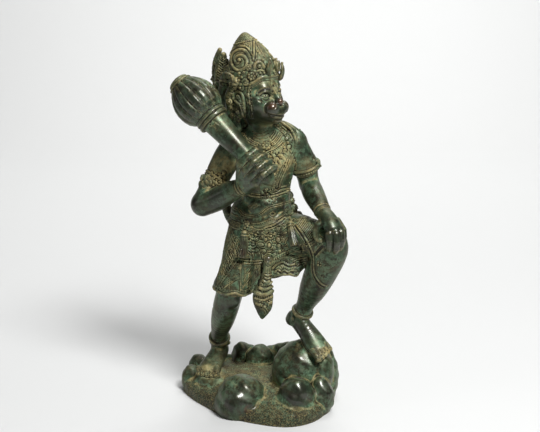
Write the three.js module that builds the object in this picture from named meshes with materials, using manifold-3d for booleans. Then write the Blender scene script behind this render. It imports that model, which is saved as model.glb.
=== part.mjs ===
// A cast bronze figure of a monkey warrior, standing on a mound of boulders that is cast in one with it.
// One foot is on the ground and the other on a tall boulder, one hand holds a mace over the shoulder, and the
// other hand rests on the raised knee. The frame is +Z up, -Y the way the chest faces and +X to the figure's
// left, with the origin under the figure on the flat underside of the mound. Lengths are millimetres.
import * as THREE from "three";
import { mergeVertices } from "three/addons/utils/BufferGeometryUtils.js";
import Module from "manifold-3d";

const wasm = await Module();
wasm.setup();

// Driving dimensions.
const FIGURE_HEIGHT = 374; // from the ground of the mound to the tip of the crown
const GROUND_HEIGHT = 26; // from the underside to the ground between the boulders
const RIM_HEIGHT = 8; // the upright edge all round the mound
const MOUND_LENGTH = 176; // along X
const MOUND_WIDTH = 158; // along Y
const MACE_HEAD_RADIUS = 23.5; // over the ribs
const MACE_HEAD_LENGTH = 46;
const MACE_SHAFT_RADIUS = 8.6; // at the fist
const MACE_THROAT_RADIUS = 14.5; // at the collar
const MACE_RIBS = 14;
const TAIL_RADIUS = 5.2;
const BANGLE_RISE = 1.8; // how far a bangle stands out from the arm
const ANKLET_RISE = 2.4;
const BELT_RISE = 2.2; // how far the belts and the collar stand out
const SKULL_RADIUS = 25.5;
const CROWN_RISE = 47.5; // from the brow band to the crown's tip

// The pose is drawn at this height, and every length of the figure is a share of it.
const DRAWN_HEIGHT = 374;
const DRAWN_GROUND = 26;
const unit = FIGURE_HEIGHT / DRAWN_HEIGHT;
const point = (x, y, z) => new THREE.Vector3(x * unit, y * unit, (z - DRAWN_GROUND) * unit + GROUND_HEIGHT);

// Directions that several forms share.
const UP = new THREE.Vector3(0, 0, 1);
const turned = (degrees) => new THREE.Vector3(1, 0, 0).applyAxisAngle(UP, THREE.MathUtils.degToRad(degrees));
const CHEST_WIDE = turned(10);
const HIPS_WIDE = turned(-6);

// A closed mesh becomes a solid, ready to be joined or cut.
function solidOf(geometry) {
  const bare = geometry.index ? geometry.clone() : geometry;
  for (const name of Object.keys(bare.attributes)) if (name !== "position") bare.deleteAttribute(name);
  const merged = mergeVertices(bare, 1e-4);
  return new wasm.Manifold(
    new wasm.Mesh({
      numProp: 3,
      vertProperties: merged.attributes.position.array,
      triVerts: new Uint32Array(merged.index.array),
    }),
  );
}

// Joins rings of points, each with as many points as the next, into a closed mesh with a fan at each end.
function skin(rings) {
  const sides = rings[0].length;
  const middle = (ring) => ring.reduce((sum, p) => sum.add(p), new THREE.Vector3()).divideScalar(sides);
  const points = [...rings.flat(), middle(rings[0]), middle(rings.at(-1))];
  const [first, last] = [points.length - 2, points.length - 1];
  const faces = [];
  for (let i = 0; i < sides; i++) {
    const j = (i + 1) % sides;
    for (let r = 0; r < rings.length - 1; r++) {
      const [a, b] = [r * sides + i, r * sides + j];
      faces.push(a, b, b + sides, a, b + sides, a + sides);
    }
    const top = (rings.length - 1) * sides;
    faces.push(first, j, i, last, top + i, top + j);
  }
  return new THREE.BufferGeometry().setFromPoints(points).setIndex(faces);
}

// A smooth value between those of the stations, at t from 0 to 1.
function between(values, t) {
  const curve = new THREE.CatmullRomCurve3(values.map((v, i) => new THREE.Vector3(i, v, 0)));
  return curve.getPoint(t).y;
}

// A limb through stations [x, y, z, wide, deep, groove]: sections square to the path, with their wide axis kept
// as near to the direction wide as the path allows. Each band [from, to, out] stands proud between two places
// along the path. With rays, the section is that many fingers or toes side by side, parted as deep as groove.
function limb(stations, { wide = HIPS_WIDE, sides = 10, steps = 2, round = 0.45, bands = [], rays = 0 } = {}) {
  const path = new THREE.CatmullRomCurve3(stations.map(([x, y, z]) => point(x, y, z)));
  const count = (stations.length - 1) * steps;
  const clear = (t) => bands.every(([from, to]) => t < from - 0.012 || t > to + 0.012);
  const marks = Array.from({ length: count + 1 }, (_, k) => [k / count, 0]).filter(([t]) => clear(t));
  for (const [from, to, out] of bands) marks.push([from, 0], [from + 0.004, out], [to - 0.004, out], [to, 0]);
  marks.sort((m, n) => m[0] - n[0]);
  const section = rays ? raySection(rays) : ovalSection(sides);
  const rings = marks.map(([t, out]) => {
    const along = path.getTangent(t);
    const across = wide.clone().addScaledVector(along, -wide.dot(along)).normalize();
    const deep = along.clone().cross(across);
    const [a, b, groove] = [3, 4, 5].map((n) => between(stations.map((s) => s[n] ?? 0), t));
    return (share, offset) =>
      section.map(([u, v, valley]) =>
        path
          .getPoint(t)
          .addScaledVector(across, (a + out) * unit * share * u)
          .addScaledVector(deep, (b + out) * unit * share * v * (valley ? 1 - groove : 1))
          .addScaledVector(along, offset * Math.min(a, b) * unit),
      );
  });
  return skin([rings[0](0.6, -round), ...rings.map((ring) => ring(1, 0)), rings.at(-1)(0.6, round)]);
}

const ovalSection = (sides) =>
  Array.from({ length: sides }, (_, i) => [Math.cos((2 * Math.PI * i) / sides), Math.sin((2 * Math.PI * i) / sides)]);

// Points [u, v, valley] round a row of fingers or toes: a point on each ridge and one in each valley on the upper
// side, and a few on the plain under side.
function raySection(rays) {
  const height = (u) => Math.sqrt(1 - Math.abs(u) ** 3);
  const over = Array.from({ length: 2 * rays }, (_, k) => [1 - k / rays, height(1 - k / rays), k > 0 && k % 2 === 0]);
  const under = [-1, -0.55, 0, 0.55].map((u) => [u, -height(u), false]);
  return [...over, ...under];
}

// An oval lump with half sizes [a, b, c], its first axis along the direction wide and its third along up.
function lump(centre, [a, b, c], { wide = HIPS_WIDE, up = UP, detail = 1 } = {}) {
  const z = up.clone().normalize();
  const x = wide.clone().addScaledVector(z, -wide.dot(z)).normalize();
  const basis = new THREE.Matrix4().makeBasis(x, z.clone().cross(x), z);
  return new THREE.IcosahedronGeometry(1, detail)
    .scale(a * unit, b * unit, c * unit)
    .applyMatrix4(basis)
    .translate(...centre);
}

// A round rod through points in the world, tapering from the first radius to the last, with rounded ends.
function rod(points, [first, last], { sides = 5, steps = 1 } = {}) {
  const path = new THREE.CatmullRomCurve3(points);
  const count = (points.length - 1) * steps;
  const frames = path.computeFrenetFrames(count, false);
  const rings = [];
  for (let k = 0; k <= count; k++) {
    const radius = THREE.MathUtils.lerp(first, last, k / count) * unit;
    const ring = (share, offset) =>
      Array.from({ length: sides }, (_, i) => {
        const angle = (2 * Math.PI * i) / sides;
        return path
          .getPointAt(k / count)
          .addScaledVector(frames.normals[k], radius * share * Math.cos(angle))
          .addScaledVector(frames.binormals[k], radius * share * Math.sin(angle))
          .addScaledVector(frames.tangents[k], offset);
      });
    if (k === 0) rings.push(ring(0.55, -0.7 * radius));
    rings.push(ring(1, 0));
    if (k === count) rings.push(ring(0.55, 0.7 * radius));
  }
  return skin(rings);
}

// The mound: a level foot with an upright rim, domed up to the ground, and boulders sunk into it.
const MOUND_OUTLINE = [
  [-0.52, 0.2], [-0.38, -0.13], [-0.13, -0.39], [0.19, -0.49], [0.4, -0.27],
  [0.48, 0.12], [0.3, 0.46], [-0.07, 0.53], [-0.42, 0.44],
];
// Each boulder as its place in shares of the mound's length and width, its height, its half sizes and its turn.
const BOULDERS = [
  [-0.13, -0.22, 15, 27, 25, 24, 20],
  [0.2, -0.3, 15, 20, 20, 24, -15],
  [0.37, -0.13, 14, 15, 20, 22, 20],
  [0.43, 0.14, 20, 14, 20, 28, 10],
  [-0.13, 0.33, 25, 22, 15, 20, 10],
  [-0.44, 0.28, 15, 14, 17, 16, 40],
  [0.12, 0.33, 24, 22, 17, 24, 15],
];
const STONE_UNDER_RIGHT_FOOT = [-56, 16, 13, 21, 30, 15, 12];
const STONE_UNDER_LEFT_FOOT = [46, -10, 33, 33, 31, 37, 10];

function mound() {
  const outline = new THREE.CatmullRomCurve3(
    MOUND_OUTLINE.map(([x, y]) => new THREE.Vector3(x * MOUND_LENGTH, y * MOUND_WIDTH, 0)),
    true,
  ).getPoints(19).slice(0, -1);
  const level = (height, share) => outline.map((p) => new THREE.Vector3(p.x * share, p.y * share, height));
  const dome = [0.35, 0.8, 1].map((share) =>
    level(RIM_HEIGHT + (GROUND_HEIGHT - RIM_HEIGHT) * share, Math.sqrt(1.02 - share * 0.75)),
  );
  return skin([level(0, 1), level(RIM_HEIGHT, 1), ...dome]);
}

// A boulder with a few broad flats and hollows.
function boulder(centre, halves, turn, detail) {
  const stone = lump(centre, halves, { wide: turned(turn), detail });
  const places = stone.attributes.position;
  const p = new THREE.Vector3();
  for (let i = 0; i < places.count; i++) {
    p.fromBufferAttribute(places, i).sub(centre);
    const d = p.clone().normalize();
    const swell = 1 + 0.06 * Math.sin(4 * d.x + turn) * Math.cos(3 * d.y - turn) + 0.04 * Math.sin(5 * d.z + turn);
    p.multiplyScalar(swell).add(centre);
    places.setXYZ(i, p.x, p.y, p.z);
  }
  return stone;
}

function plinth() {
  const [across, along] = [MOUND_LENGTH, MOUND_WIDTH];
  const loose = BOULDERS.map(([x, y, z, a, b, c, turn]) => {
    const height = z * (GROUND_HEIGHT / DRAWN_GROUND);
    return boulder(new THREE.Vector3(x * across, y * along, height), [a, b, c], turn, 1);
  });
  const bearing = [STONE_UNDER_RIGHT_FOOT, STONE_UNDER_LEFT_FOOT].map(([x, y, z, a, b, c, turn]) =>
    boulder(point(x, y, z), [a, b, c], turn, a > 25 ? 2 : 1),
  );
  return [mound(), ...loose, ...bearing];
}

// A leg is a limb that ends in the foot: a wedge from the heel to the toes, which are parted at its end.
function rightLeg() {
  const leg = limb(
    [
      [-8, 8, 186, 25, 24], [-22, 2, 154, 21, 21], [-33, -4, 127, 15.5, 16.5], [-37.5, 1, 108, 15.5, 17],
      [-42.5, 14, 88, 13.2, 13.5], [-47, 30, 68, 10, 10], [-48.5, 41, 50, 9.5, 10.5],
    ],
    { steps: 1, bands: [[0.885, 0.93, ANKLET_RISE]] },
  );
  const sole = [
    [-47, 57, 37, 8.5, 9], [-49, 42, 38.5, 9.5, 12], [-53.5, 25, 33, 10.8, 9], [-58.5, 11, 28.5, 12.6, 5.8, 0.3],
    [-61.5, 2, 26, 11.8, 4.2, 0.5],
  ];
  return [leg, limb(sole, { wide: turned(-14), steps: 1, rays: 5 })];
}

function leftLeg() {
  const thigh = limb(
    [[36, -10, 190, 20, 19], [54, -23, 191, 20, 19.5], [70, -33, 190, 17.5, 18]],
    { wide: UP, steps: 1, sides: 10 },
  );
  const shin = limb(
    [
      [74, -36, 195, 14, 13.5], [73, -35, 181, 19, 18.5], [65, -25, 158, 18, 18.5], [55.5, -14, 134, 15, 15.5],
      [47.5, -5.5, 113, 10, 10], [42, 0, 97, 9.5, 10.5],
    ],
    { steps: 1, bands: [[0.815, 0.86, ANKLET_RISE]] },
  );
  const sole = [
    [31, 11, 89.5, 8, 8.5], [38, 3, 90.5, 9, 12], [48.5, -10, 81.5, 10, 10], [58.5, -22, 70, 11.5, 6.4, 0.3],
    [64, -29, 62, 10.8, 4.2, 0.5],
  ];
  const wide = new THREE.Vector3(0.72, 0.55, 0.38).normalize();
  return [thigh, shin, limb(sole, { wide, steps: 1, rays: 5 })];
}

// The body from the crotch to under the chin, with the belt, the sash and the collar round it.
function torso() {
  const trunk = limb(
    [
      [4, 4, 197, 28, 22], [4, 4, 206, 28.5, 22.5], [5, 3, 220, 26, 19.5], [5.3, 2, 236, 25, 17.5],
      [5, 1, 252, 28, 19.5], [5, 0, 268, 31, 21.5], [5, 1.5, 282, 29, 19.5], [4, 3, 291, 22, 16.5], [2.5, 3, 298, 15.5, 14.5],
      [0, 1, 306, 14, 14], [-4, -1, 318, 14, 14],
    ],
    { wide: CHEST_WIDE, sides: 12, steps: 1, bands: [[0.135, 0.18, BELT_RISE * 1.3], [0.77, 0.81, BELT_RISE]] },
  );
  const shoulderPlate = lump(point(30, 3, 291), [14.5, 13, 6], { wide: turned(15), up: new THREE.Vector3(0.45, 0, 1) });
  return [trunk, shoulderPlate];
}

function rightArm() {
  const upper = limb(
    [[-24, 6, 286, 14.5, 14.5], [-33, 3, 276, 15, 14.5], [-42, -1, 261, 15, 13.5], [-49.5, -5, 245, 13.5, 12.5], [-59.5, -8, 226, 12.3, 12.5]],
    { steps: 1, sides: 9, bands: [[0.66, 0.72, BANGLE_RISE]] },
  );
  const fore = limb(
    [[-61, -9, 224, 12.5, 12.5], [-47, -17.5, 231, 13, 12.5], [-33, -26.5, 240, 11, 10.8], [-20.5, -35, 248, 9, 9], [-13, -39.5, 255, 9, 9]],
    { steps: 1, sides: 9, bands: [[0.68, 0.74, BANGLE_RISE]] },
  );
  const leaf = lump(point(-54, -14, 249), [6.5, 4, 8], { wide: turned(-20), up: new THREE.Vector3(0.3, 0.1, 1), detail: 0 });
  const palm = lump(point(-10, -40.5, 261.5), [11, 11, 13]);
  // The fist is round the shaft, with a ridge for each finger.
  const fist = turnedOnMace(
    [[MACE_SHAFT_RADIUS, -12.5], ...[0, 1, 2, 3].flatMap((i) => [[13.6, -9.3 + 5.8 * i], [12, -6.4 + 5.8 * i]]), [MACE_SHAFT_RADIUS, 14]],
    10,
  );
  return [upper, fore, leaf, palm, fist];
}

function leftArm() {
  const upper = limb(
    [[36, 4, 287, 13.5, 13.5], [42.5, 7, 275, 14.6, 14.6], [47, 10, 263, 15.4, 15.2], [50, 12, 249, 11.8, 12.4], [52.5, 13.5, 240, 11, 11.8]],
    { steps: 1, sides: 9, bands: [[0.56, 0.63, BANGLE_RISE * 1.4]] },
  );
  const fore = limb(
    [[52.5, 13.5, 241, 11.4, 11.6], [56.5, -2, 233.5, 12, 12], [61.5, -18, 226.5, 10.6, 10.6], [66.5, -32, 219.5, 8.6, 8.6]],
    { steps: 1, sides: 9, bands: [[0.86, 0.96, BANGLE_RISE]] },
  );
  const hand = limb(
    [
      [66, -31, 219.5, 8.6, 8], [69.5, -40, 215.5, 10.5, 7], [73.5, -50, 208.5, 11.5, 6, 0.1], [75, -56.5, 201, 11.2, 5, 0.4],
      [75.3, -58, 193, 10.6, 4.6, 0.5], [75, -56, 186.5, 9.5, 3.8, 0.5],
    ],
    { wide: turned(8), steps: 1, rays: 4 },
  );
  const thumb = rod([[62, -38, 214], [57.5, -45, 210], [55.5, -50.5, 203], [57.5, -52, 196.5]].map((p) => point(...p)), [4, 3.4]);
  return [upper, fore, hand, thumb];
}

// The mace is a turned form, drawn along its axis from the middle of the fist.
const MACE_GRIP = point(-3.6, -44, 269.5);
const MACE_CAP = point(-83.9, -6, 349.7);
const COLLAR_PLACE = 64; // along the shaft, where the throat ends
const maceAxis = () => MACE_CAP.clone().sub(MACE_GRIP).normalize();
const maceAt = (distance) => MACE_GRIP.clone().addScaledVector(maceAxis(), distance * unit);

// A closed turned form on the mace's axis, from a profile of [radius, place, ribbed].
function turnedOnMace(profile, segments) {
  const rings = profile.map(([radius, along, ribbed]) =>
    Array.from({ length: segments }, (_, i) => {
      const angle = (2 * Math.PI * i) / segments;
      const rib = ribbed && i % 2 === 0 ? 0.92 : 1;
      return new THREE.Vector3(Math.cos(angle), Math.sin(angle), 0).multiplyScalar(radius * rib * unit).setZ(along * unit);
    }),
  );
  const tilt = new THREE.Quaternion().setFromUnitVectors(UP, maceAxis());
  return skin(rings).applyQuaternion(tilt).translate(...MACE_GRIP);
}

function mace() {
  const start = COLLAR_PLACE + 11;
  const end = start + MACE_HEAD_LENGTH;
  const collar = MACE_THROAT_RADIUS * 1.23;
  const shaft = [[5.5, -18.5], [MACE_SHAFT_RADIUS, -14], [MACE_SHAFT_RADIUS, 6], [MACE_THROAT_RADIUS, COLLAR_PLACE + 4]];
  const gadroons = [0.08, 0.3, 0.58, 0.84].map((s) => {
    const bulge = Math.pow(Math.sin(Math.PI * (0.14 + 0.8 * s)), 0.8);
    return [bulge * MACE_HEAD_RADIUS, start + s * (end - start), true];
  });
  const capRadius = MACE_HEAD_RADIUS * 0.5;
  const cap = [[capRadius * 1.1, end - 1.5], [capRadius * 0.8, end + 4], [capRadius * 0.3, end + 7]];
  const head = [[collar, COLLAR_PLACE + 2], [collar, COLLAR_PLACE + 8.5], ...gadroons, ...cap];
  return [turnedOnMace(shaft, 12), turnedOnMace(head, MACE_RIBS * 2)];
}

// The head looks to the figure's left, and its parts are placed by how far they lie forward, left and up.
const HEAD = point(-7, -2, 335.7);
const GAZE = new THREE.Vector3(0.766, -0.643, 0);
const HEAD_LEFT = new THREE.Vector3(0.643, 0.766, 0);
const onHead = (forward, left, up) =>
  HEAD.clone().addScaledVector(GAZE, forward * unit).addScaledVector(HEAD_LEFT, left * unit).addScaledVector(UP, up * unit);
const headLump = (place, halves, up = UP, detail = 1) => lump(onHead(...place), halves, { wide: HEAD_LEFT, up, detail });

function face() {
  const skull = headLump([-1, 0, 2], [SKULL_RADIUS * 0.93, SKULL_RADIUS, SKULL_RADIUS * 1.02], UP, 1);
  const jaw = headLump([13, 0, -13], [16, 18, 14]);
  const muzzle = headLump([24, 0, -14], [10.5, 10.5, 12]);
  const noseBridge = rod([onHead(23, 0, 6), onHead(30, 0, -1), onHead(34.5, 0, -5.5)], [4, 5.4]);
  const pairs = [-1, 1].flatMap((side) => [
    headLump([27.5, side * 8.6, -11], [7.8, 8.6, 7.6]),
    headLump([21.5, side * 10, 0.5], [4.6, 3.4, 2.8], UP, 0),
    rod([onHead(24, side * 3, 4.5), onHead(22, side * 10.5, 7), onHead(16, side * 17, 4.5)], [2.6, 2], { sides: 4 }),
    headLump([-1, side * 22.5, -7], [4.6, 7, 13], UP, 0),
  ]);
  return [skull, jaw, muzzle, noseBridge, ...pairs];
}

// The crown is one form drawn by sections [forward, up, wide, deep, petal]: two bands, a row of petals that stand
// out and up where petal is 1, and a dome up to the point. A flat spiral lies on each side of it.
const BROW = 17; // how far the lower band lies above the middle of the head
const PETALS = 10;
function crown() {
  const sections = [
    [-2, BROW - 3, 21.4, 23.4], [-2.2, BROW - 1.5, 24.4, 26.2], [-2.5, BROW + 2.5, 24.4, 26.2], [-2.6, BROW + 3.2, 23, 24.8],
    [-3, BROW + 4.5, 25.2, 27], [-3.2, BROW + 8.5, 24.8, 26.6], [-4, BROW + 15, 23.6, 25.6, 1], [-5, BROW + 14, 20.5, 22.5],
    [-7.5, BROW + 21, 18.6, 20.6], [-9.5, BROW + 29, 14.6, 16.6], [-11, BROW + 35.5, 9.6, 11.2], [-12.5, BROW + CROWN_RISE, 3.4, 4.4],
  ];
  const sides = PETALS * 2;
  const rings = sections.map(([forward, up, wide, deep, petal]) =>
    Array.from({ length: sides }, (_, i) => {
      const angle = (2 * Math.PI * (i + 0.5)) / sides;
      const front = 1 - 0.4 * Math.max(0, Math.sin(angle));
      const rise = petal ? (i % 2 ? 6.5 : -3) * front : 0;
      const out = petal && i % 2 ? 1.04 : 1;
      return onHead(forward - deep * out * Math.sin(angle), wide * out * Math.cos(angle), up + rise);
    }),
  );
  const spirals = [-1, 1].map((side) => headLump([-6, side * 17.5, BROW + 23], [7, 11.5, 12.5]));
  const rosettes = [-0.95, 0, 0.95].map((angle) =>
    headLump([-3 + 27 * Math.cos(angle), 25 * Math.sin(angle), BROW + 7], [4.6, 4, 4.6], UP, 0),
  );
  return [skin(rings), ...spirals, ...rosettes];
}

// Hair down the nape, a roll of locks behind each ear, and the plume of the crown, held off the back of the head.
function backOrnaments() {
  const behindEars = [-1, 1].flatMap((side) => [
    rod([onHead(-9, side * 19.5, 15), onHead(-14, side * 22, 2), onHead(-14, side * 19, -15), onHead(-12, side * 16, -31)], [5.8, 6.6], { sides: 5 }),
    rod([onHead(-8, side * 19, 8), onHead(-3, side * 27.5, 20), onHead(-8, side * 32, 27)], [3.8, 2.4], { sides: 4 }),
  ]);
  const hair = limb([[-19, 13, 352, 24.5, 14], [-20, 15, 335, 25.5, 14], [-13, 17, 316, 24, 11], [-2, 18, 292, 20, 9]], { wide: CHEST_WIDE, steps: 1 });
  const plume = limb([[-42, 29, 332, 7, 5], [-42.5, 28, 350, 8, 5.5], [-42, 27, 366, 7, 4.5], [-40.5, 25, 376.5, 3.5, 3]], { wide: turned(10), sides: 6, steps: 1 });
  const holder = rod([point(-18, 12, 356), point(-40, 26, 358)], [8, 6]);
  return [...behindEars, hair, plume, holder];
}

function tail() {
  const path = [
    [-4, 22, 188], [-22, 30, 186], [-35, 33, 199], [-41, 34, 222], [-42, 35, 256], [-42, 36, 290], [-46, 38, 322],
    [-50, 38, 350], [-49, 36, 369], [-44.5, 33.5, 380],
  ].map((p) => point(...p));
  const bridge = rod([point(-48, 38, 334), point(-30, 28, 338)], [4.4, 4.4]);
  return [rod(path, [TAIL_RADIUS * 1.25, TAIL_RADIUS * 0.72], { sides: 6, steps: 1 }), bridge];
}

// The dress: a short skirt over the standing thigh, a lap cloth between the legs and the cloth of the raised one.
function dress() {
  const overThigh = limb([[-5, 6, 206, 29.5, 24.5], [-11, 4, 190, 28, 25.5], [-17.5, 2, 174, 25.5, 25], [-24, -1, 153, 23.5, 23.5], [-29.5, -3, 136, 22, 22], [-32, -4, 127, 21.5, 21.5]], { sides: 12, steps: 1, round: 0.05 });
  const lap = limb([[9, -3, 196, 29, 23], [14, -9, 176, 28, 20], [19, -14, 160, 25.5, 15], [22, -17, 151, 22, 10]], { sides: 10, steps: 1, round: 0.1 });
  const overKnee = limb([[8, 4, 192, 27, 26.5], [30, -6, 192, 25.8, 25], [50, -20, 192, 22.6, 22], [60, -27, 189, 20.3, 20.3]], { wide: UP, sides: 12, steps: 1, round: 0.1 });
  const braid = skin(
    [[6.3, -31.5, 170, 5], [5.6, -32.5, 161, 4.6], [5, -32.5, 152, 7], [4, -32.3, 143, 5.6], [2.9, -31.8, 134, 8.8], [2.2, -31.2, 128, 7],
      [1.4, -30.6, 119, 9.4], [0.2, -29, 110, 6], [-0.8, -27.5, 102.5, 1.6]].reverse().map(([x, y, z, radius]) =>
      Array.from({ length: 8 }, (_, i) => {
        const angle = (2 * Math.PI * i) / 8;
        return point(x + radius * Math.cos(angle), y + radius * 0.72 * Math.sin(angle), z);
      }),
    ),
  );
  const braidBack = limb([[-2, -20, 176, 10, 12], [-4, -20, 150, 9, 11], [-7, -20, 131, 8, 10]], { sides: 6, steps: 1 });
  const tassels = [[-18.7, -19.5, 194, -19.7, -24.5, 172], [30.5, -22, 204, 34.6, -31, 184]].map(([x, y, z, x2, y2, z2]) =>
    limb([[x, y, z, 3.6, 3.2], [(x + x2) / 2, (y + y2) / 2, (z + z2) / 2, 5, 4.2], [x2, y2, z2, 5.2, 4]], { sides: 6, steps: 1, round: 0.15 }),
  );
  return [overThigh, lap, overKnee, braid, braidBack, ...tassels];
}

// Rosettes down the front, and the bow of the sash behind the waist.
function ornaments() {
  const rosettes = [[8, -16, 289, 4.8], [8, -22.5, 213, 6.4], [-11, -19, 216, 5], [24, -17, 212, 5]].map(
    ([x, y, z, size]) => lump(point(x, y, z), [size, size * 0.8, size], { wide: CHEST_WIDE, detail: 0 }),
  );
  const bow = [[30, 18, 226, 9, 7, 7], [31, 19, 212, 12, 8, 9], [-19, 18, 222, 10, 8, 9]].map(([x, y, z, a, b, c]) =>
    lump(point(x, y, z), [a, b, c], { wide: CHEST_WIDE, detail: 0 }),
  );
  return [...rosettes, ...bow];
}

// Everything is joined into one solid and cut level at the underside.
function figure() {
  const forms = [
    ...plinth(), ...rightLeg(), ...leftLeg(), ...torso(), ...dress(), ...ornaments(), ...tail(), ...backOrnaments(),
    ...rightArm(), ...leftArm(), ...face(), ...crown(), ...mace(),
  ];
  const whole = forms.map(solidOf).reduce((sum, solid) => sum.add(solid));
  const below = new THREE.BoxGeometry(3 * MOUND_LENGTH, 3 * MOUND_WIDTH, 200).translate(0, 0, -100);
  const cut = whole.subtract(solidOf(below));
  const { vertProperties, triVerts } = cut.getMesh();
  const geometry = new THREE.BufferGeometry();
  geometry.setAttribute("position", new THREE.BufferAttribute(vertProperties, 3));
  geometry.setIndex(new THREE.BufferAttribute(triVerts, 1));
  return geometry;
}

const bronze = new THREE.MeshStandardMaterial({ color: 0x3a4a38, metalness: 1, roughness: 0.45 });
const model = new THREE.Group();
model.name = "monkey_warrior_bronze";
const casting = new THREE.Mesh(figure(), bronze);
casting.name = "hanuman_figure";
model.add(casting);

export default model;
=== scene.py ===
"""The looks of a cast bronze monkey warrior on a mound of boulders.

The whole casting is sculpted as one distance field in millimetres, in the frame's own axes: soft forms are
joined for the body, then dress, jewels, mace and stones are raised or cut on its surface. The field becomes
five meshes that meet edge to edge. They carry how hollow and how exposed each point is, and the bronze takes
its patina, and a painted shade in its deeper cuts, from that. What follows seen, line or at_depth is pixels
of the photograph.
"""
import math
from concurrent.futures import ThreadPoolExecutor

import bpy
import numpy as np
import openvdb
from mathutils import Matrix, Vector

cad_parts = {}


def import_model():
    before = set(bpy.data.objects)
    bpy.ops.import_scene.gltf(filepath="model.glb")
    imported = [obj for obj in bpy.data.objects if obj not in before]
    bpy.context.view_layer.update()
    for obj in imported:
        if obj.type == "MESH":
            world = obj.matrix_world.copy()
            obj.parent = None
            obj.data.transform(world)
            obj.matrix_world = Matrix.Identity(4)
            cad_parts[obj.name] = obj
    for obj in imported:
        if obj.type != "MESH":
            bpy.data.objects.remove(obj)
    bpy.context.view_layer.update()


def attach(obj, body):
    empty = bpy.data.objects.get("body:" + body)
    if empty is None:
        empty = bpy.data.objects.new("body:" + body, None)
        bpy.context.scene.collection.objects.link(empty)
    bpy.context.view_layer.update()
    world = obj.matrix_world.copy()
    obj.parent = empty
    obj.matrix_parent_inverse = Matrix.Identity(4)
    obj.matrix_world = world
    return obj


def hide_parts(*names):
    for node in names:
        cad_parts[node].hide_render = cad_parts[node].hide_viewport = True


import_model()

STEP = 0.5  # millimetres between the samples of the field
LOW, HIGH = np.array([-99.0, -85.0, -3.0]), np.array([97.0, 90.0, 404.0])
FAR = 6.0  # the field is not followed further than this from the surface
FACES = 190000  # the most triangles in one piece
POOL = ThreadPoolExecutor(4)
UP = np.array([0.0, 0.0, 1.0])
HAIRLINE = 0.001  # the radius of the core that a raised or cut line is measured from


def unit(v):
    v = np.asarray(v, float)
    return v / np.linalg.norm(v)


def turned(degrees):
    """A level direction."""
    a = math.radians(degrees)
    return np.array([math.cos(a), math.sin(a), 0.0])


def smooth(t):
    t = np.clip(t, 0, 1)
    return t * t * (3 - 2 * t)


def box_of(a, b):
    return tuple(slice(a[i], b[i]) for i in range(3))


def gathered(volume, q):
    """The values of a volume at places given in its own samples, between them."""
    shape = np.array(volume.shape)
    flat = volume.reshape(-1)
    out = np.empty(len(q), np.float32)
    step = (shape[1] * shape[2], shape[2], 1)

    def work(part):
        p = np.clip(q[part], 0, shape - 1.001)
        i = p.astype(np.int64)
        fx, fy, fz = (p - i).astype(np.float32).T
        at = i[:, 0] * step[0] + i[:, 1] * step[1] + i[:, 2]
        rows = []
        for off in (0, step[1], step[0], step[0] + step[1]):
            low = flat[at + off]
            rows.append(low + fz * (flat[at + off + 1] - low))
        near, far = rows[0] + fy * (rows[1] - rows[0]), rows[2] + fy * (rows[3] - rows[2])
        out[part] = near + fx * (far - near)

    cuts = np.linspace(0, len(q), 5).astype(int) if len(q) > 20000 else (0, len(q))
    list(POOL.map(work, [slice(a, b) for a, b in zip(cuts[:-1], cuts[1:])]))
    return out


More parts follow.
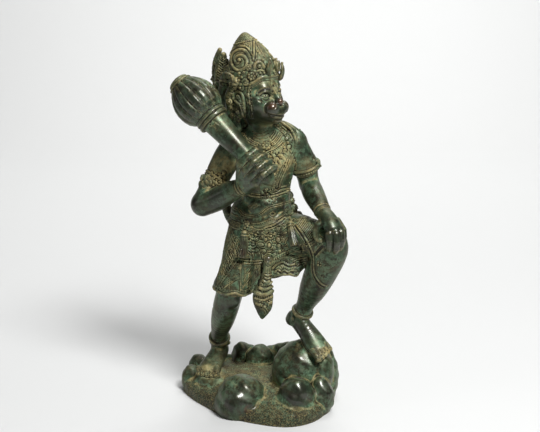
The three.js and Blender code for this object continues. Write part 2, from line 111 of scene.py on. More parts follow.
class Field:
    """Distances to the surface on a grid: negative inside."""

    def __init__(self):
        self.shape = tuple(np.ceil((HIGH - LOW) / STEP).astype(int) + 1)
        self.d = np.full(self.shape, FAR, np.float32)

    def window(self, low, high):
        """The first sample of a box and the one after its last."""
        a = np.floor((np.asarray(low) - LOW) / STEP).astype(int)
        b = np.ceil((np.asarray(high) - LOW) / STEP).astype(int) + 1
        return np.clip(a, 0, np.array(self.shape)), np.clip(b, 0, np.array(self.shape))

    def axes(self, a, b):
        x, y, z = [(LOW[i] + STEP * np.arange(a[i], b[i])).astype(np.float32) for i in range(3)]
        return x[:, None, None], y[None, :, None], z[None, None, :]

    def shape_of(self, parts, margin):
        """The least distance to several parts, over a window that holds them all."""
        low = np.min([p[0] for p in parts], axis=0) - margin
        high = np.max([p[1] for p in parts], axis=0) + margin
        a, b = self.window(low, high)
        out = np.full(np.maximum(b - a, 0), FAR, np.float32)
        if out.size == 0:
            return a, b, out
        for p_low, p_high, distance in parts:
            c, e = self.window(p_low - margin, p_high + margin)
            if np.any(e <= c):
                continue
            view = out[box_of(c - a, e - a)]
            cuts = np.linspace(0, view.shape[2], (4 if view.size > 400000 else 1) + 1).astype(int)

            def work(k):
                part = view[:, :, cuts[k]:cuts[k + 1]]
                first, last = np.array([*c[:2], c[2] + cuts[k]]), np.array([*e[:2], c[2] + cuts[k + 1]])
                np.minimum(part, distance(*self.axes(first, last)), out=part)

            list(POOL.map(work, range(len(cuts) - 1)))
        return a, b, out

    def join(self, parts, blend, least, sign):
        """Parts are added to the field (sign 1) or cut from it (-1), softly over blend millimetres."""
        a, b, s = self.shape_of(parts, max(blend, least) + 1.0)
        view = self.d[box_of(a, b)]
        s = sign * s
        pick = np.minimum if sign > 0 else np.maximum
        if blend > 0:
            h = np.maximum(blend - np.abs(view - s), 0) / blend
            view[...] = pick(view, s) - sign * h * h * blend * 0.25
        else:
            pick(view, s, out=view)

    def add(self, parts, blend=0.0):
        self.join(parts, blend, 2.0, 1)

    def cut(self, parts, blend=0.0):
        self.join(parts, blend, 1.0, -1)

    def near(self, parts, height, reach):
        """Moves the surface outward by height(distance to the parts)."""
        a, b, s = self.shape_of(parts, reach)
        view = self.d[box_of(a, b)]
        view -= height(s)

    def sample(self, points):
        """The field at points, between its samples."""
        return gathered(self.d, (np.asarray(points, float) - LOW) / STEP)

    def march(self, starts, ways, reach, step=0.5):
        """Where rays from the starts first meet the surface, or their nearest approach to it."""
        starts = np.atleast_2d(np.asarray(starts, float))
        ways = np.broadcast_to(np.atleast_2d(np.asarray(ways, float)), starts.shape)
        t = np.arange(0, reach, step)
        places = starts[:, None] + ways[:, None] * t[None, :, None]
        values = self.sample(places.reshape(-1, 3)).reshape(len(starts), -1)
        inside = values < 0
        first = np.where(inside.any(1), inside.argmax(1), values.argmin(1))
        rows = np.arange(len(starts))
        before = np.maximum(first - 1, 0)
        v0, v1 = values[rows, before], values[rows, first]
        f = np.where((v1 < 0) & (v0 > 0), v0 / np.maximum(v0 - v1, 1e-6), 1.0)
        return starts + ways * (t[before] + (t[first] - t[before]) * f)[:, None]


# Parts of a shape: each is its lowest corner, its highest corner and its distance.

def ball(c, r):
    c = np.asarray(c, float)
    return c - r, c + r, lambda x, y, z: np.sqrt((x - c[0]) ** 2 + (y - c[1]) ** 2 + (z - c[2]) ** 2) - r


def basis(wide, up):
    """Three directions square to each other: the last is up, and the first is nearest to wide."""
    up = unit(up)
    x = unit(np.asarray(wide, float) - np.dot(wide, up) * up)
    return np.array([x, np.cross(up, x), up])


def local(m, c, x, y, z):
    """How far places lie from a centre along each of three directions."""
    x, y, z = x - c[0], y - c[1], z - c[2]
    return [x * way[0] + y * way[1] + z * way[2] for way in m]


def oval(c, halves, wide=(1, 0, 0), up=(0, 0, 1)):
    c, h = np.asarray(c, float), np.asarray(halves, float)
    m = basis(wide, up)
    span = np.sqrt(((m.T * h) ** 2).sum(1))

    def distance(x, y, z):
        places = local(m, c, x, y, z)
        near = np.sqrt(sum((u / k) ** 2 for u, k in zip(places, h)))
        far = np.sqrt(sum((u / k ** 2) ** 2 for u, k in zip(places, h)))
        return near * (near - 1) / np.maximum(far, 1e-4)

    return c - span, c + span, distance


def block(c, halves, wide=(1, 0, 0), up=(0, 0, 1), soft=0.6):
    c, h = np.asarray(c, float), np.asarray(halves, float)
    m = basis(wide, up)
    span = np.abs(m.T * h).sum(1)

    def distance(x, y, z):
        q = [np.abs(u) - (k - soft) for u, k in zip(local(m, c, x, y, z), h)]
        outside = np.sqrt(sum(np.maximum(v, 0) ** 2 for v in q))
        return outside + np.minimum(np.maximum(np.maximum(q[0], q[1]), q[2]), 0) - soft

    return c - span, c + span, distance


def cone(p, q, r1, r2=None):
    """A round rod from p to q, with a radius at each end."""
    p, q = np.asarray(p, float), np.asarray(q, float)
    r2 = r1 if r2 is None else r2
    v = q - p
    length2 = max(float(v @ v), 1e-9)

    def distance(x, y, z):
        x, y, z = x - p[0], y - p[1], z - p[2]
        h = np.clip((x * v[0] + y * v[1] + z * v[2]) / length2, 0, 1)
        return np.sqrt((x - h * v[0]) ** 2 + (y - h * v[1]) ** 2 + (z - h * v[2]) ** 2) - (r1 + h * (r2 - r1))

    return np.minimum(p - r1, q - r2), np.maximum(p + r1, q + r2), distance


def chain(points, radii):
    """Rods from each point to the next, with one radius or a radius for each point."""
    radii = np.broadcast_to(radii, len(points))
    return [cone(p, q, a, b) for p, q, a, b in zip(points[:-1], points[1:], radii[:-1], radii[1:])]


def through(rows, per=4):
    """Rows of numbers followed by a smooth curve through them."""
    rows = np.asarray(rows, float)
    ends = np.vstack([2 * rows[0] - rows[1], rows, 2 * rows[-1] - rows[-2]])
    out = []
    for i in range(len(rows) - 1):
        p0, p1, p2, p3 = ends[i:i + 4]
        for t in np.arange(per) / per:
            out.append(0.5 * (2 * p1 + (p2 - p0) * t + (2 * p0 - 5 * p1 + 4 * p2 - p3) * t * t
                              + (3 * p1 - p0 - 3 * p2 + p3) * t ** 3))
    return np.array(out + [rows[-1]])


def rope(points, radii, per=4):
    """A round cord through points, with one radius or the radii of its two ends."""
    path = through(points, per)
    return chain(path, np.linspace(*np.broadcast_to(radii, 2), len(path)))


def limb(rows, wide=(1, 0, 0), per=5):
    """An oval section [x, y, z, wide, deep] carried along a path."""
    path = through(rows, per)
    parts = []
    for a, b in zip(path[:-1], path[1:]):
        p, v = a[:3], b[:3] - a[:3]
        m = basis(wide, v)
        length = np.linalg.norm(v)
        small = min(a[3], a[4], b[3], b[4])
        reach = max(a[3], a[4], b[3], b[4])

        def distance(x, y, z, p=p, m=m, length=length, a=a, b=b, small=small):
            u, w, s = local(m, p, x, y, z)
            h = np.clip(s / length, 0, 1)
            s = s - h * length
            wide_here, deep_here = a[3] + h * (b[3] - a[3]), a[4] + h * (b[4] - a[4])
            near = np.sqrt((u / wide_here) ** 2 + (w / deep_here) ** 2 + (s / small) ** 2)
            far = np.sqrt((u / wide_here ** 2) ** 2 + (w / deep_here ** 2) ** 2 + (s / small ** 2) ** 2)
            return near * (near - 1) / np.maximum(far, 1e-4)

        parts.append((np.minimum(p, b[:3]) - reach, np.maximum(p, b[:3]) + reach, distance))
    return parts


# The photograph's camera, in millimetres and in pixels of its 540 x 432.
EYE, PITCH, FOCUS = np.array([8.5, -1150.0, 500.0]), math.radians(14.234), 1115.75
MIDDLE_PIXEL = (270, 216)
AHEAD = np.array([0.0, math.cos(PITCH), -math.sin(PITCH)])
ABOVE = np.array([0.0, math.sin(PITCH), math.cos(PITCH)])
NEAREST, DEPTH = 1015, 330  # the casting lies within this depth, from this far before the eye

body = Field()
CHEST, HIPS = turned(10), turned(-6)

# The head looks to the figure's left; its parts are placed by how far they lie forward, left and up.
HEAD = np.array([-7.0, -2.0, 335.7])
GAZE, LEFT = unit([0.766, -0.643, 0]), unit([0.643, 0.766, 0])

# The mace is placed by how far along its axis a thing lies from the fist.
GRIP, CAP = np.array([-3.6, -44.0, 269.5]), np.array([-83.9, -6.0, 349.7])
MACE = unit(CAP - GRIP)


def on_head(forward, left, up):
    return HEAD + forward * GAZE + left * LEFT + up * UP


def on_mace(along):
    return GRIP + along * MACE


def level(angles):
    """Level directions at angles in radians."""
    return np.stack([np.cos(angles), np.sin(angles), 0 * angles], axis=1)


def from_gaze(angle):
    """The level direction at an angle in radians from the gaze, to the figure's left above 0."""
    return GAZE * math.cos(angle) + LEFT * math.sin(angle)


def rays(pixels):
    p = np.atleast_2d(np.asarray(pixels, float)) - MIDDLE_PIXEL
    ways = AHEAD + np.outer(p[:, 0] / FOCUS, (1, 0, 0)) - np.outer(p[:, 1] / FOCUS, ABOVE)
    return ways / np.linalg.norm(ways, axis=1)[:, None]


def seen(pixels):
    """The points of the casting that show at pixels of the photograph."""
    ways = rays(pixels)
    return body.march(EYE + ways * NEAREST, ways, DEPTH)


def seen_one(x, y):
    return seen((x, y))[0]


def at_depth(pixels, y):
    """The points at pixels of the photograph that lie at a depth y."""
    ways = rays(pixels)
    return EYE + ways * ((np.asarray(y, float) - EYE[1]) / ways[:, 1])[:, None]


def line(pixels, per=5):
    """A smooth line of points of the casting through pixels of the photograph."""
    return seen(through(pixels, per))


def mirrored(points):
    """The same points on the other half of the head."""
    points = np.atleast_2d(points)
    return points - 2 * np.outer((points - HEAD) @ LEFT, LEFT)


def facing(points, span=0.9):
    """The casting's outward directions at points."""
    points = np.atleast_2d(points)
    slopes = [body.sample(points + e) - body.sample(points - e) for e in np.eye(3) * span]
    g = np.stack(slopes, axis=1)
    return g / np.maximum(np.linalg.norm(g, axis=1)[:, None], 1e-6)


def settled(points, ways, reach=4.0):
    """Points moved along their ways, in or out, until they lie on the casting."""
    return body.march(points + ways * reach, -np.broadcast_to(ways, points.shape), 2 * reach, 0.25)


def behind(a, b, centre, lift=0.0, count=26, out=46.0):
    """Points on the casting from a round the back of a centre to b."""
    a, b, centre = (np.asarray(p, float) for p in (a, b, centre))
    start = math.atan2(a[1] - centre[1], a[0] - centre[0]) % (2 * math.pi)
    stop = math.atan2(b[1] - centre[1], b[0] - centre[0])
    if start < math.pi / 2:
        start += 2 * math.pi
    t = np.linspace(0, 1, count)
    ways = level(start + (stop - start) * t)
    starts = np.broadcast_to(centre, ways.shape).copy()
    starts[:, 2] = a[2] + (b[2] - a[2]) * t + lift * np.sin(math.pi * t)
    found = body.march(starts + ways * out, -ways, out)
    found[0], found[-1] = a, b
    return found


def closed(front, centre, lift=0.0, count=30):
    """A line across the front of the casting, joined up round the back of a centre."""
    return np.concatenate([front, behind(front[0], front[-1], centre, lift, count)[1:-1][::-1]])


def round_limb(centre, axis, out, count=40, first=0.0, last=360.0, wide=(1, 0, 0)):
    """Points met from outside all the way round a limb."""
    m = basis(wide, axis)
    angles = np.radians(np.linspace(first, last, count))
    ways = np.outer(np.cos(angles), m[0]) + np.outer(np.sin(angles), m[1])
    return body.march(np.asarray(centre, float) + ways * out, -ways, out)


def circle(p, u, v, wide, high, count, stop=2 * math.pi):
    """Points round a circle or an oval whose half axes lie along u and v."""
    t = np.linspace(0, stop, count)[:, None]
    return p + np.cos(t) * wide * u + np.sin(t) * high * v


def dent(parts, deep, off, wide, reach):
    """A soft channel round parts, at a distance off from them."""
    body.near(parts, lambda s: -deep * np.exp(-((s - off) / wide) ** 2), reach)


def strand(points, r):
    """A cord along a line of the casting, broken where it leaps from one form to another."""
    gaps = np.linalg.norm(np.diff(points, axis=0), axis=1)
    most = 3.5 * np.median(gaps) + 1.5
    return [cone(points[i], points[i + 1], r) for i in range(len(gaps)) if gaps[i] < most]


def ridges(lines, r, rise, moat):
    """Soft raised lines with a fine channel along each side of them."""
    def height(s):
        channel = np.exp(-((s - 1.95 * r) / (0.6 * r + 0.12)) ** 2)
        return rise * np.exp(-(s / (0.95 * r)) ** 2) - moat * channel

    body.near([part for points in lines for part in strand(points, HAIRLINE)], height, 3.2 * r + 0.6)


def ridge(points, r, rise=None, moat=0.5):
    ridges([points], r, 1.1 * r if rise is None else rise, moat)


def groove(points, r, deep=None):
    dent(strand(points, HAIRLINE), 1.2 * r if deep is None else deep, 0, r, 2.6 * r + 0.4)


def beside(points, off):
    """A line moved over the casting, to the right of its run as seen from outside if off is above 0."""
    n = facing(points)
    side = np.cross(np.gradient(points, axis=0), n)
    side /= np.maximum(np.linalg.norm(side, axis=1)[:, None], 1e-6)
    return settled(points + side * off, n)


def spaced(points, gap):
    """Points a gap apart along a line."""
    along = np.concatenate([[0], np.cumsum(np.linalg.norm(np.diff(points, axis=0), axis=1))])
    count = max(int(along[-1] / gap), 1)
    places = (np.arange(count) + 0.5) * along[-1] / count
    return np.stack([np.interp(places, along, points[:, k]) for k in range(3)], axis=1)


def studs(points, r, proud=0.62, moat=0.35):
    """Round beads that stand proud by a share of their width."""
    points = np.atleast_2d(points)
    parts = [ball(p, r) for p in points + facing(points) * (r * (2 * proud - 1))]
    if moat:
        dent(parts, moat, 0.35, 0.5, 2.2)
    body.add(parts, 0.2)


def pits(points, r, deep=0.5):
    points = np.atleast_2d(points)
    body.cut([ball(p, r) for p in points + facing(points) * (r * (1 - 2 * deep))], 0.2)


def border(points, half, r=0.65, bead=0.0, rise=0.4, hole=0.0):
    """A flat strip with a fine cord along each edge, and a row of beads or of holes down its middle."""
    body.near(strand(points, 10 * HAIRLINE), lambda s: rise * smooth((half + 0.5 - s) / 1.0), half + 1)
    for off in (-half, half):
        ridge(beside(points, off), r)
    if bead:
        studs(spaced(points, bead * 2.35), bead)
    if hole:
        pits(spaced(points, hole * 2.9), hole, 0.85)


def frame_at(p, n=None):
    """The outward direction at a point with two directions across it."""
    n = facing(p)[0] if n is None else unit(n)
    u = basis((1, 0, 0) if abs(n[0]) < 0.9 else (0, 1, 0), n)[0]
    return n, u, np.cross(n, u)


def rosette(p, r, petals=8, turn=0.0):
    """A disc in a channel, with petals round a bossed middle."""
    p = np.asarray(p, float).reshape(3)
    n, u, v = frame_at(p)
    base = [oval(p - n * r * 0.1, (r * 0.98, r * 0.98, r * 0.3), u, n)]
    dent(base, 0.45, 0.5, 0.6, 2.5)
    body.add(base, 0.3)
    petal = (r * 0.36, min(r * 0.27, 2.2 * r / petals), r * 0.3)
    parts = []
    for k in range(petals):
        t = turn + 2 * math.pi * k / petals
        way = u * math.cos(t) + v * math.sin(t)
        parts.append(oval(p + way * r * 0.66 + n * r * 0.1, petal, way, n))
    body.add(parts, 0.15)
    body.cut(chain(circle(p + n * r * 0.34, u, v, r * 0.4, r * 0.4, 15), r * 0.11), 0.15)
    body.add([ball(p + n * r * 0.14, r * 0.34)], 0.1)


def curl(p, r, turns=1.4, start=0.0, sense=1, thick=0.8):
    """A scroll lying on the casting, wound in from its outer end to a knob."""
    p = np.asarray(p, float).reshape(3)
    n, u, v = frame_at(p)
    s = np.linspace(0, 1, int(14 * turns) + 4)
    angle = start + sense * 2 * math.pi * turns * s
    reach = r * (1 - 0.86 * s ** 0.8)
    path = p + np.outer(reach * np.cos(angle), u) + np.outer(reach * np.sin(angle), v)
    path = settled(path, n, min(4.0, 0.7 * r + 1))
    ridge(path, thick, 1.25 * thick, 0.45)
    studs(path[-1], thick * 1.3, 0.75, 0)


def leaf(p, way, length, width, rise=0.8):
    """A pointed leaf with a rib cut down its middle."""
    n = facing(p)[0]
    way = unit(np.asarray(way, float) - np.dot(way, n) * n)
    body.add([oval(p, (length / 2, width / 2, rise * 1.4), way, n),
              cone(p, p + way * length * 0.55 + n * rise * 0.3, rise * 0.9, 0.4)], 0.3)
    heel, tip = p - way * length * 0.35 + n * rise * 1.5, p + way * length * 0.42 + n * rise * 1.15
    body.cut([cone(heel, tip, 0.35)], 0.2)


def lozenge(x, y, half_wide, half_high, r=0.5):
    """A small diamond drawn round a pixel, its half sizes in pixels too."""
    left, right = (x - half_wide, y), (x + half_wide, y)
    corners = [left, (x, y - half_high), right, (x, y + half_high), left]
    ridge(seen(np.concatenate([np.linspace(a, b, 5)[:-1] for a, b in zip(corners[:-1], corners[1:])])), r)


def strokes(rows, r, rise=None, bend=0.0):
    """Short raised lines from pixel x, y to pixel x, y, each bowed sideways by bend pixels."""
    for row in rows:
        a, b = np.array(row[:2], float), np.array(row[2:], float)
        across = np.array([b[1] - a[1], a[0] - b[0]]) / max(np.linalg.norm(b - a), 1e-6)
        t = np.linspace(0, 1, 8)[:, None]
        ridge(seen(a + (b - a) * t + across * bend * 4 * t * (1 - t)), r, rise)


def rosettes(rows, petals):
    """Rosettes at pixels, each with its radius."""
    for x, y, r in rows:
        rosette(seen((x, y)), r, petals)


def curls(rows, turns, thick, size=1.0):
    """Scrolls at pixels, each with its radius, the angle it starts from and its sense."""
    for x, y, r, start, sense in rows:
        curl(seen((x, y)), r * size, turns, start, sense, thick)


SIDES = (-1, 1)
STONES = (  # place, half sizes and turn
    (-23, -38, 15, 29, 25, 27, 20), (36, -46, 18, 20.5, 19, 27.5, -15), (62, -34, 17, 16, 16, 23, 30),
    (71.5, 13, 22, 13, 20, 28, 10), (60, 12, 30, 22, 24, 33, 40), (-24, 61, 29, 12.5, 13, 15, 0),
    (-3, 50, 26, 16.5, 14, 19, 25), (24, 60, 26, 18, 14, 19, -20), (50, 44, 22, 20, 16, 22, 15),
    (-80, 29, 13, 12.5, 15, 14, 0), (-71, 49, 18, 13, 15, 15, 40), (-46, 74, 12, 15, 10, 13, 0),
    (62, 62, 14, 16, 13, 15, 30), (8, 76, 12, 18, 9, 13, 0), (-12, 66, 26, 11, 10, 12.8, 0),
    (9, 62, 26, 12, 11, 14, 0),
)
BEARING = (  # the boulders under the two feet, which keep their full height
    (44, -8, 33.5, 34, 30, 37.5, 10), (65, -22, 41, 14, 13, 19, 20), (-56, 16, 13, 21, 30, 14.5, 12),
)
FACETS, FACET_EDGE = 7, 3.2  # the flat faces of a boulder, and how softly they meet
GLINT = (0.16, -0.81, 0.565)  # the way a facet faces that gives the key lamp back to the camera
GLINTING = 3  # the first boulders, at the front, have such a facet
MOUND_MIDDLE = 5.0  # the mound is drawn round this y
MOUND_OUTLINE = np.array((
    (-92, 34), (-80, 2), (-62, -23), (-36, -51), (-5, -68), (32, -77), (56, -63), (71.5, -33), (79.5, 2),
    (81, 36), (66, 66), (30, 80), (-12, 84), (-52, 79), (-82, 62),
), float) - (0, MOUND_MIDDLE)
RIM, DOME = 8, 18  # the height of the mound's edge, and how much its middle rises over it
stones = []


def mound_edge():
    """The mound's reach at angles round its middle."""
    angles = np.unwrap(np.arctan2(MOUND_OUTLINE[:, 1], MOUND_OUTLINE[:, 0]))
    radii = np.hypot(MOUND_OUTLINE[:, 0], MOUND_OUTLINE[:, 1])
    order = np.argsort(angles)
    angles = np.concatenate([angles[order] + turn for turn in (-2 * math.pi, 0, 2 * math.pi)])
    around = np.linspace(-math.pi, math.pi, 361)
    edge = np.interp(around, angles, np.tile(radii[order], 3))
    for _ in range(6):
        edge = (np.roll(edge, 3) + edge + np.roll(edge, -3)) / 3
    return around, edge


def mound():
    """A level foot with a rim, domed up to the ground."""
    around, edge = mound_edge()

    def distance(x, y, z):
        from_middle = y - MOUND_MIDDLE
        reach = np.interp(np.arctan2(from_middle, x)[:, :, 0], around, edge).astype(np.float32)[:, :, None]
        share = np.sqrt(x * x + from_middle ** 2) / reach
        rolling = 1.1 * np.sin(x * 0.13) * np.sin(y * 0.11 + 1) + 0.5 * np.sin(x * 0.31 + y * 0.2)
        top = RIM + DOME * np.sqrt(np.clip(1.02 - share ** 2, 0, 1)) ** 1.2 + rolling
        side = (share - 1) * reach * 0.93 + 0.02 * (RIM - z)
        over = (z - top) * 0.8
        h = np.maximum(4 - np.abs(side - over), 0) / 4
        return np.maximum(side, over) + h * h

    body.add([(np.array([-97.0, -82, -3]), np.array([90.0, 88, 32]), distance)])


def boulder(n, row):
    """An oval shaved by a few planes, each a flat facet, and rolled with low waves."""
    centre = np.array(row[:3], float)
    low, high, plain = oval(centre, row[3:6], turned(row[6]))
    seeds = np.random.default_rng(n + 3)
    ways = seeds.normal(size=(FACETS, 3))
    ways[:, 2] = np.abs(ways[:, 2]) * (0.8 if n < len(STONES) else -0.3)
    ways[0] = GLINT if n < GLINTING else ways[0]
    ways /= np.linalg.norm(ways, axis=1)[:, None]
    reach = np.sqrt(((ways @ basis(turned(row[6]), UP).T * row[3:6]) ** 2).sum(1))
    reach *= seeds.uniform(0.84, 0.96, FACETS)

    def distance(px, py, pz):
        x, y, z = px - centre[0], py - centre[1], pz - centre[2]
        d = plain(px, py, pz)
        for w, s in zip(ways, reach):
            f = (x * w[0] + y * w[1] + z * w[2] - s) * 0.9
            h = np.maximum(FACET_EDGE - np.abs(d - f), 0) / FACET_EDGE
            d = np.maximum(d, f) + h * h * 0.8
        d = d + 0.5 * np.sin(0.3 * x + n) * np.cos(0.25 * y - n)
        return d + 0.35 * np.sin(0.45 * z + 0.3 * x + 2 * n)

    stones.append((low - 3, high + 3, distance))
    body.add([stones[-1]], 2.6)


# Limbs by sections along their paths: place, then half the width and depth.
STANDING_LEG = (
    (-8, 8, 186, 25, 24), (-22, 2, 154, 21, 21), (-34, -4, 127, 14.5, 16.8), (-39, 1, 108, 14.3, 17.3),
    (-43.5, 14, 88, 12.9, 14.2), (-47.5, 30, 68, 9.8, 10.2), (-49, 40, 50, 9.4, 10.8),
)
STANDING_FOOT = (
    (-47, 56, 37, 8.3, 9), (-48.5, 44, 39, 9.4, 12), (-52.5, 31, 35.5, 10.4, 10.2),
    (-58, 18, 30.5, 12.2, 7.4),
    (-61, 10, 28.4, 13, 5.2),
)
RAISED_THIGH = (
    (12, 3, 188, 25, 25), (34, -9, 189, 21, 23), (54, -23, 189.2, 18.5, 20.3), (70, -34, 189.5, 17.3, 17.8),
)
RAISED_SHIN = (
    (72.5, -35.5, 193, 14.5, 14), (71.5, -34, 181, 18.3, 18.3), (64, -25, 158, 17.6, 18.3),
    (55.5, -14, 134, 15, 15.8), (47.5, -5.5, 113, 10, 10.3), (42, 0, 97, 9.3, 10.5),
)
RAISED_FOOT = (
    (33, 9.5, 89, 7.4, 7.6), (38, 4, 91, 9, 11.6), (46, -7, 84.5, 9.8, 10.8), (56, -18.5, 74, 11.6, 7.6),
    (61.5, -25, 68, 11.6, 5.4),
)
ANKLE_BONES = (-38.8, 38, 51), (-57.5, 42, 51), (34.5, -5.5, 95), (50.5, 3, 98)
BODY = (
    (5, 4, 174, 24, 20), (4, 4, 190, 31, 25), (4, 4, 205, 28.5, 22.5), (5, 3, 220, 26, 19.5),
    (5.3, 2, 236, 25, 17.3), (5, 1, 252, 27.5, 19), (5, 0, 268, 31, 20.5), (5, 1.5, 281, 29.5, 18.5),
    (4, 3, 290, 24, 15), (2.5, 3, 297, 16, 12.5),
)
NECK = (3, 3, 290, 16, 15), (0, 1, 305, 13.6, 13.6), (-4, -1, 320, 13.4, 13.8)
SHOULDERS = (-26, 5, 287, 12, 12), (4, 3, 292, 11, 12), (36, 4, 289, 11, 12)
SHOULDER_STRAP = (276, 122.5), (284, 124.3), (292, 128.4), (299.5, 133.8)
THIGH_CLOTH = (
    (-5, 6, 206, 29.5, 24.5), (-10.2, 4, 190, 26.2, 25.5), (-16.6, 2, 174, 23.8, 25),
    (-22.6, -1, 153, 21.4, 23.5), (-28.8, -3, 136, 20.8, 21.9),
)
THIGH_HEM = (-28.8, -3, 136, 20.8, 21.9), (-31.4, -4, 129.5, 21.6, 21.6)
BARE_KNEE = (-29, -4, 136, 15, 16.5), (-34, -4, 127, 14.5, 16.8), (-39, 1, 108, 14.3, 17.3)
LAP_CLOTH = (9, -3, 196, 29, 23), (14, -9, 176, 28, 20), (19, -14, 162, 24, 14), (22, -17, 158, 19, 9)
RAISED_CLOTH = (
    (8, 4, 192, 27, 26.5), (30, -6.5, 189.8, 23.4, 24.8), (50, -20, 190, 20.2, 21.8),
    (59, -26.5, 188, 19, 20),
)


def foot(rows, wide, big, little):
    """An instep and sole drawn by sections, with five toes from big to little, and their nails."""
    body.add(limb(rows, wide), 3)
    big, little, root = np.array(big, float), np.array(little, float), np.array(rows[-1][:3], float)
    ahead = unit((big + little) / 2 - root)
    side = unit(little - big)
    lift = unit(np.cross(side, ahead)) * (1 if np.cross(side, ahead)[2] > 0 else -1)
    for share in np.arange(5) / 4:
        r = 3.7 - 1.2 * share
        bow = 2.2 * math.sin(math.pi * (0.25 + 0.5 * share)) - 2.2 * share
        tip = big + (little - big) * share + ahead * (1.5 + bow)
        start = tip - ahead * (10 - 2.5 * share) + lift * 1.6
        middle = tip - ahead * 4 + lift * 1.5
        body.add(chain((start, middle, tip), (r, r * 0.92, r)), 0.8)
        nail = tip + ahead * r * 0.35 + lift * r * 0.82
        body.cut([oval(nail + lift * 0.4, (r * 0.55, r * 0.62, 0.7), side, lift)], 0.3)


def legs():
    body.add(limb(STANDING_LEG, HIPS), 3)
    body.add([oval((-32.5, -15, 122), (9, 7, 9.5))], 4)
    foot(STANDING_FOOT, turned(-14), (-50.5, 3.5, 27), (-71, 8, 26.5))
    body.add(limb(RAISED_THIGH, UP) + limb(RAISED_SHIN, HIPS), 3)
    foot(RAISED_FOOT, unit([0.72, 0.55, 0.38]), (58.5, -34, 61.5), (72.5, -25.5, 68.5))
    for p in ANKLE_BONES:
        body.add([ball(p, 2.6)], 3)


def trunk():
    body.add(limb(BODY, CHEST, 3), 3)
    body.add([oval((-9, -11, 271), (15, 10, 13), CHEST), oval((18, -9, 271), (15, 10, 13), CHEST)], 5)
    body.add([oval((5, -13, 222), (18, 8, 11), CHEST)], 6)
    body.add(limb(NECK, CHEST), 5)
    body.add(limb(SHOULDERS, UP), 7)
    body.add(rope(at_depth(SHOULDER_STRAP, 1), 3.6, 3), 3)


def dress():
    """Cloth over the standing thigh, between the legs and over the raised one."""
    body.add(limb(THIGH_CLOTH, HIPS), 2)
    body.add(limb(THIGH_HEM, HIPS), 1)
    body.cut([block((-32, -3, 114), (30, 30, 12.5), (1, 0, 0.08), (0.1, 0, 1), 1.0)], 1.0)
    body.add(limb(BARE_KNEE, HIPS), 1)
    body.add([oval((-32.5, -15, 119), (9, 6.5, 9))], 4)
    body.add(limb(LAP_CLOTH, HIPS), 3)
    body.add([oval((46.5, -20, 169), (7, 7, 9.5))], 3)
    body.add(limb(RAISED_CLOTH, UP), 2)


# Forms of the face: how far forward, to the side and up, half sizes, and how softly each joins.
SKULL = (
    ((-0.5, 0, 2.5), (24, 26, 26.5), 6), ((13, 0, -11), (17, 18.5, 15), 6),
    ((21, 0, -12.5), (11, 13, 11.5), 6),
)
CHEEKS = ((14, 13.5, -4), (9, 9.5, 10), 5), ((14.6, 6.5, 13), (10.6, 10.6, 8), 4)
BROW = (18.5, -16.5, 6.4), (23.4, -9.5, 9.6), (25.2, 0, 9.0), (23.4, 9.5, 9.6), (18.5, 16.5, 6.4)
NOSE = (24, 0, 9), (28, 0, 5), (31, 0, 1.5), (32.4, 0, -0.6)
MUZZLE = ((29.4, 0, -12.5), (8.0, 8.0, 6), 3), ((25.5, 0, -19), (8.5, 8.4, 5.4), 3)


def face_forms():
    """A monkey's face: a round brow, deep eyes, full cheeks and a short muzzle with a flat nose."""
    def single(rows):
        for place, halves, soft in rows:
            body.add([oval(on_head(*place), halves, LEFT)], soft)

    def double(place, halves, soft):
        body.add([oval(on_head(place[0], s * place[1], place[2]), halves, LEFT) for s in SIDES], soft)

    single(SKULL)
    for row in CHEEKS:
        double(*row)
    body.add(rope([on_head(*p) for p in BROW], 1.7), 2.5)
    for s in SIDES:
        body.cut([oval(on_head(27, s * 10, 3.4), (6.2, 6.4, 4.2), LEFT)], 2)
        body.add([oval(on_head(20.6, s * 10, 3.4), (5.2, 4.6, 3.6), LEFT)], 0.8)
    body.add(rope([on_head(*p) for p in NOSE], (2.8, 2.6)), 3)
    double((29.4, 8, -8.2), (7.2, 7.2, 7.0), 1.6)
    single(MUZZLE)
    body.add([ball(on_head(33.2, 0, -1.8), 3.5)], 1.2)
    double((32, 3.3, -4.4), (2.4, 2.6, 2.2), 1.0)


mound()
for number, stone in enumerate(STONES + BEARING):
    boulder(number, stone)
legs()
trunk()
dress()
face_forms()


def tassel(top, foot_at, r1, r2, strands=9):
    """A bell of strands hung from a knob."""
    top, foot_at = np.asarray(top, float), np.asarray(foot_at, float)
    run, down = foot_at - top, unit(foot_at - top)
    body.add([cone(top, foot_at, r1, r2)], 0.4)
    body.cut([block(foot_at + down * (r2 * 0.55 + 3), (8, 8, 3), (1, 0, 0), down, 0.2)], 0.2)
    u, v, _ = basis((1, 0, 0), run)
    cuts = []
    for k in range(strands):
        t = 2 * math.pi * (k + 0.5) / strands
        way = u * math.cos(t) + v * math.sin(t)
        cuts.append(cone(top + way * r1 * 1.02 + run * 0.15, foot_at + way * r2 * 1.04 + down * 3, 0.6, 0.75))
    body.cut(cuts, 0.3)
    body.add(chain(circle(top + run * 0.1, u, v, r1 * 1.02, r1 * 1.02, 17), 0.8), 0.2)
    body.add([ball(top, r1 * 1.05)], 0.4)


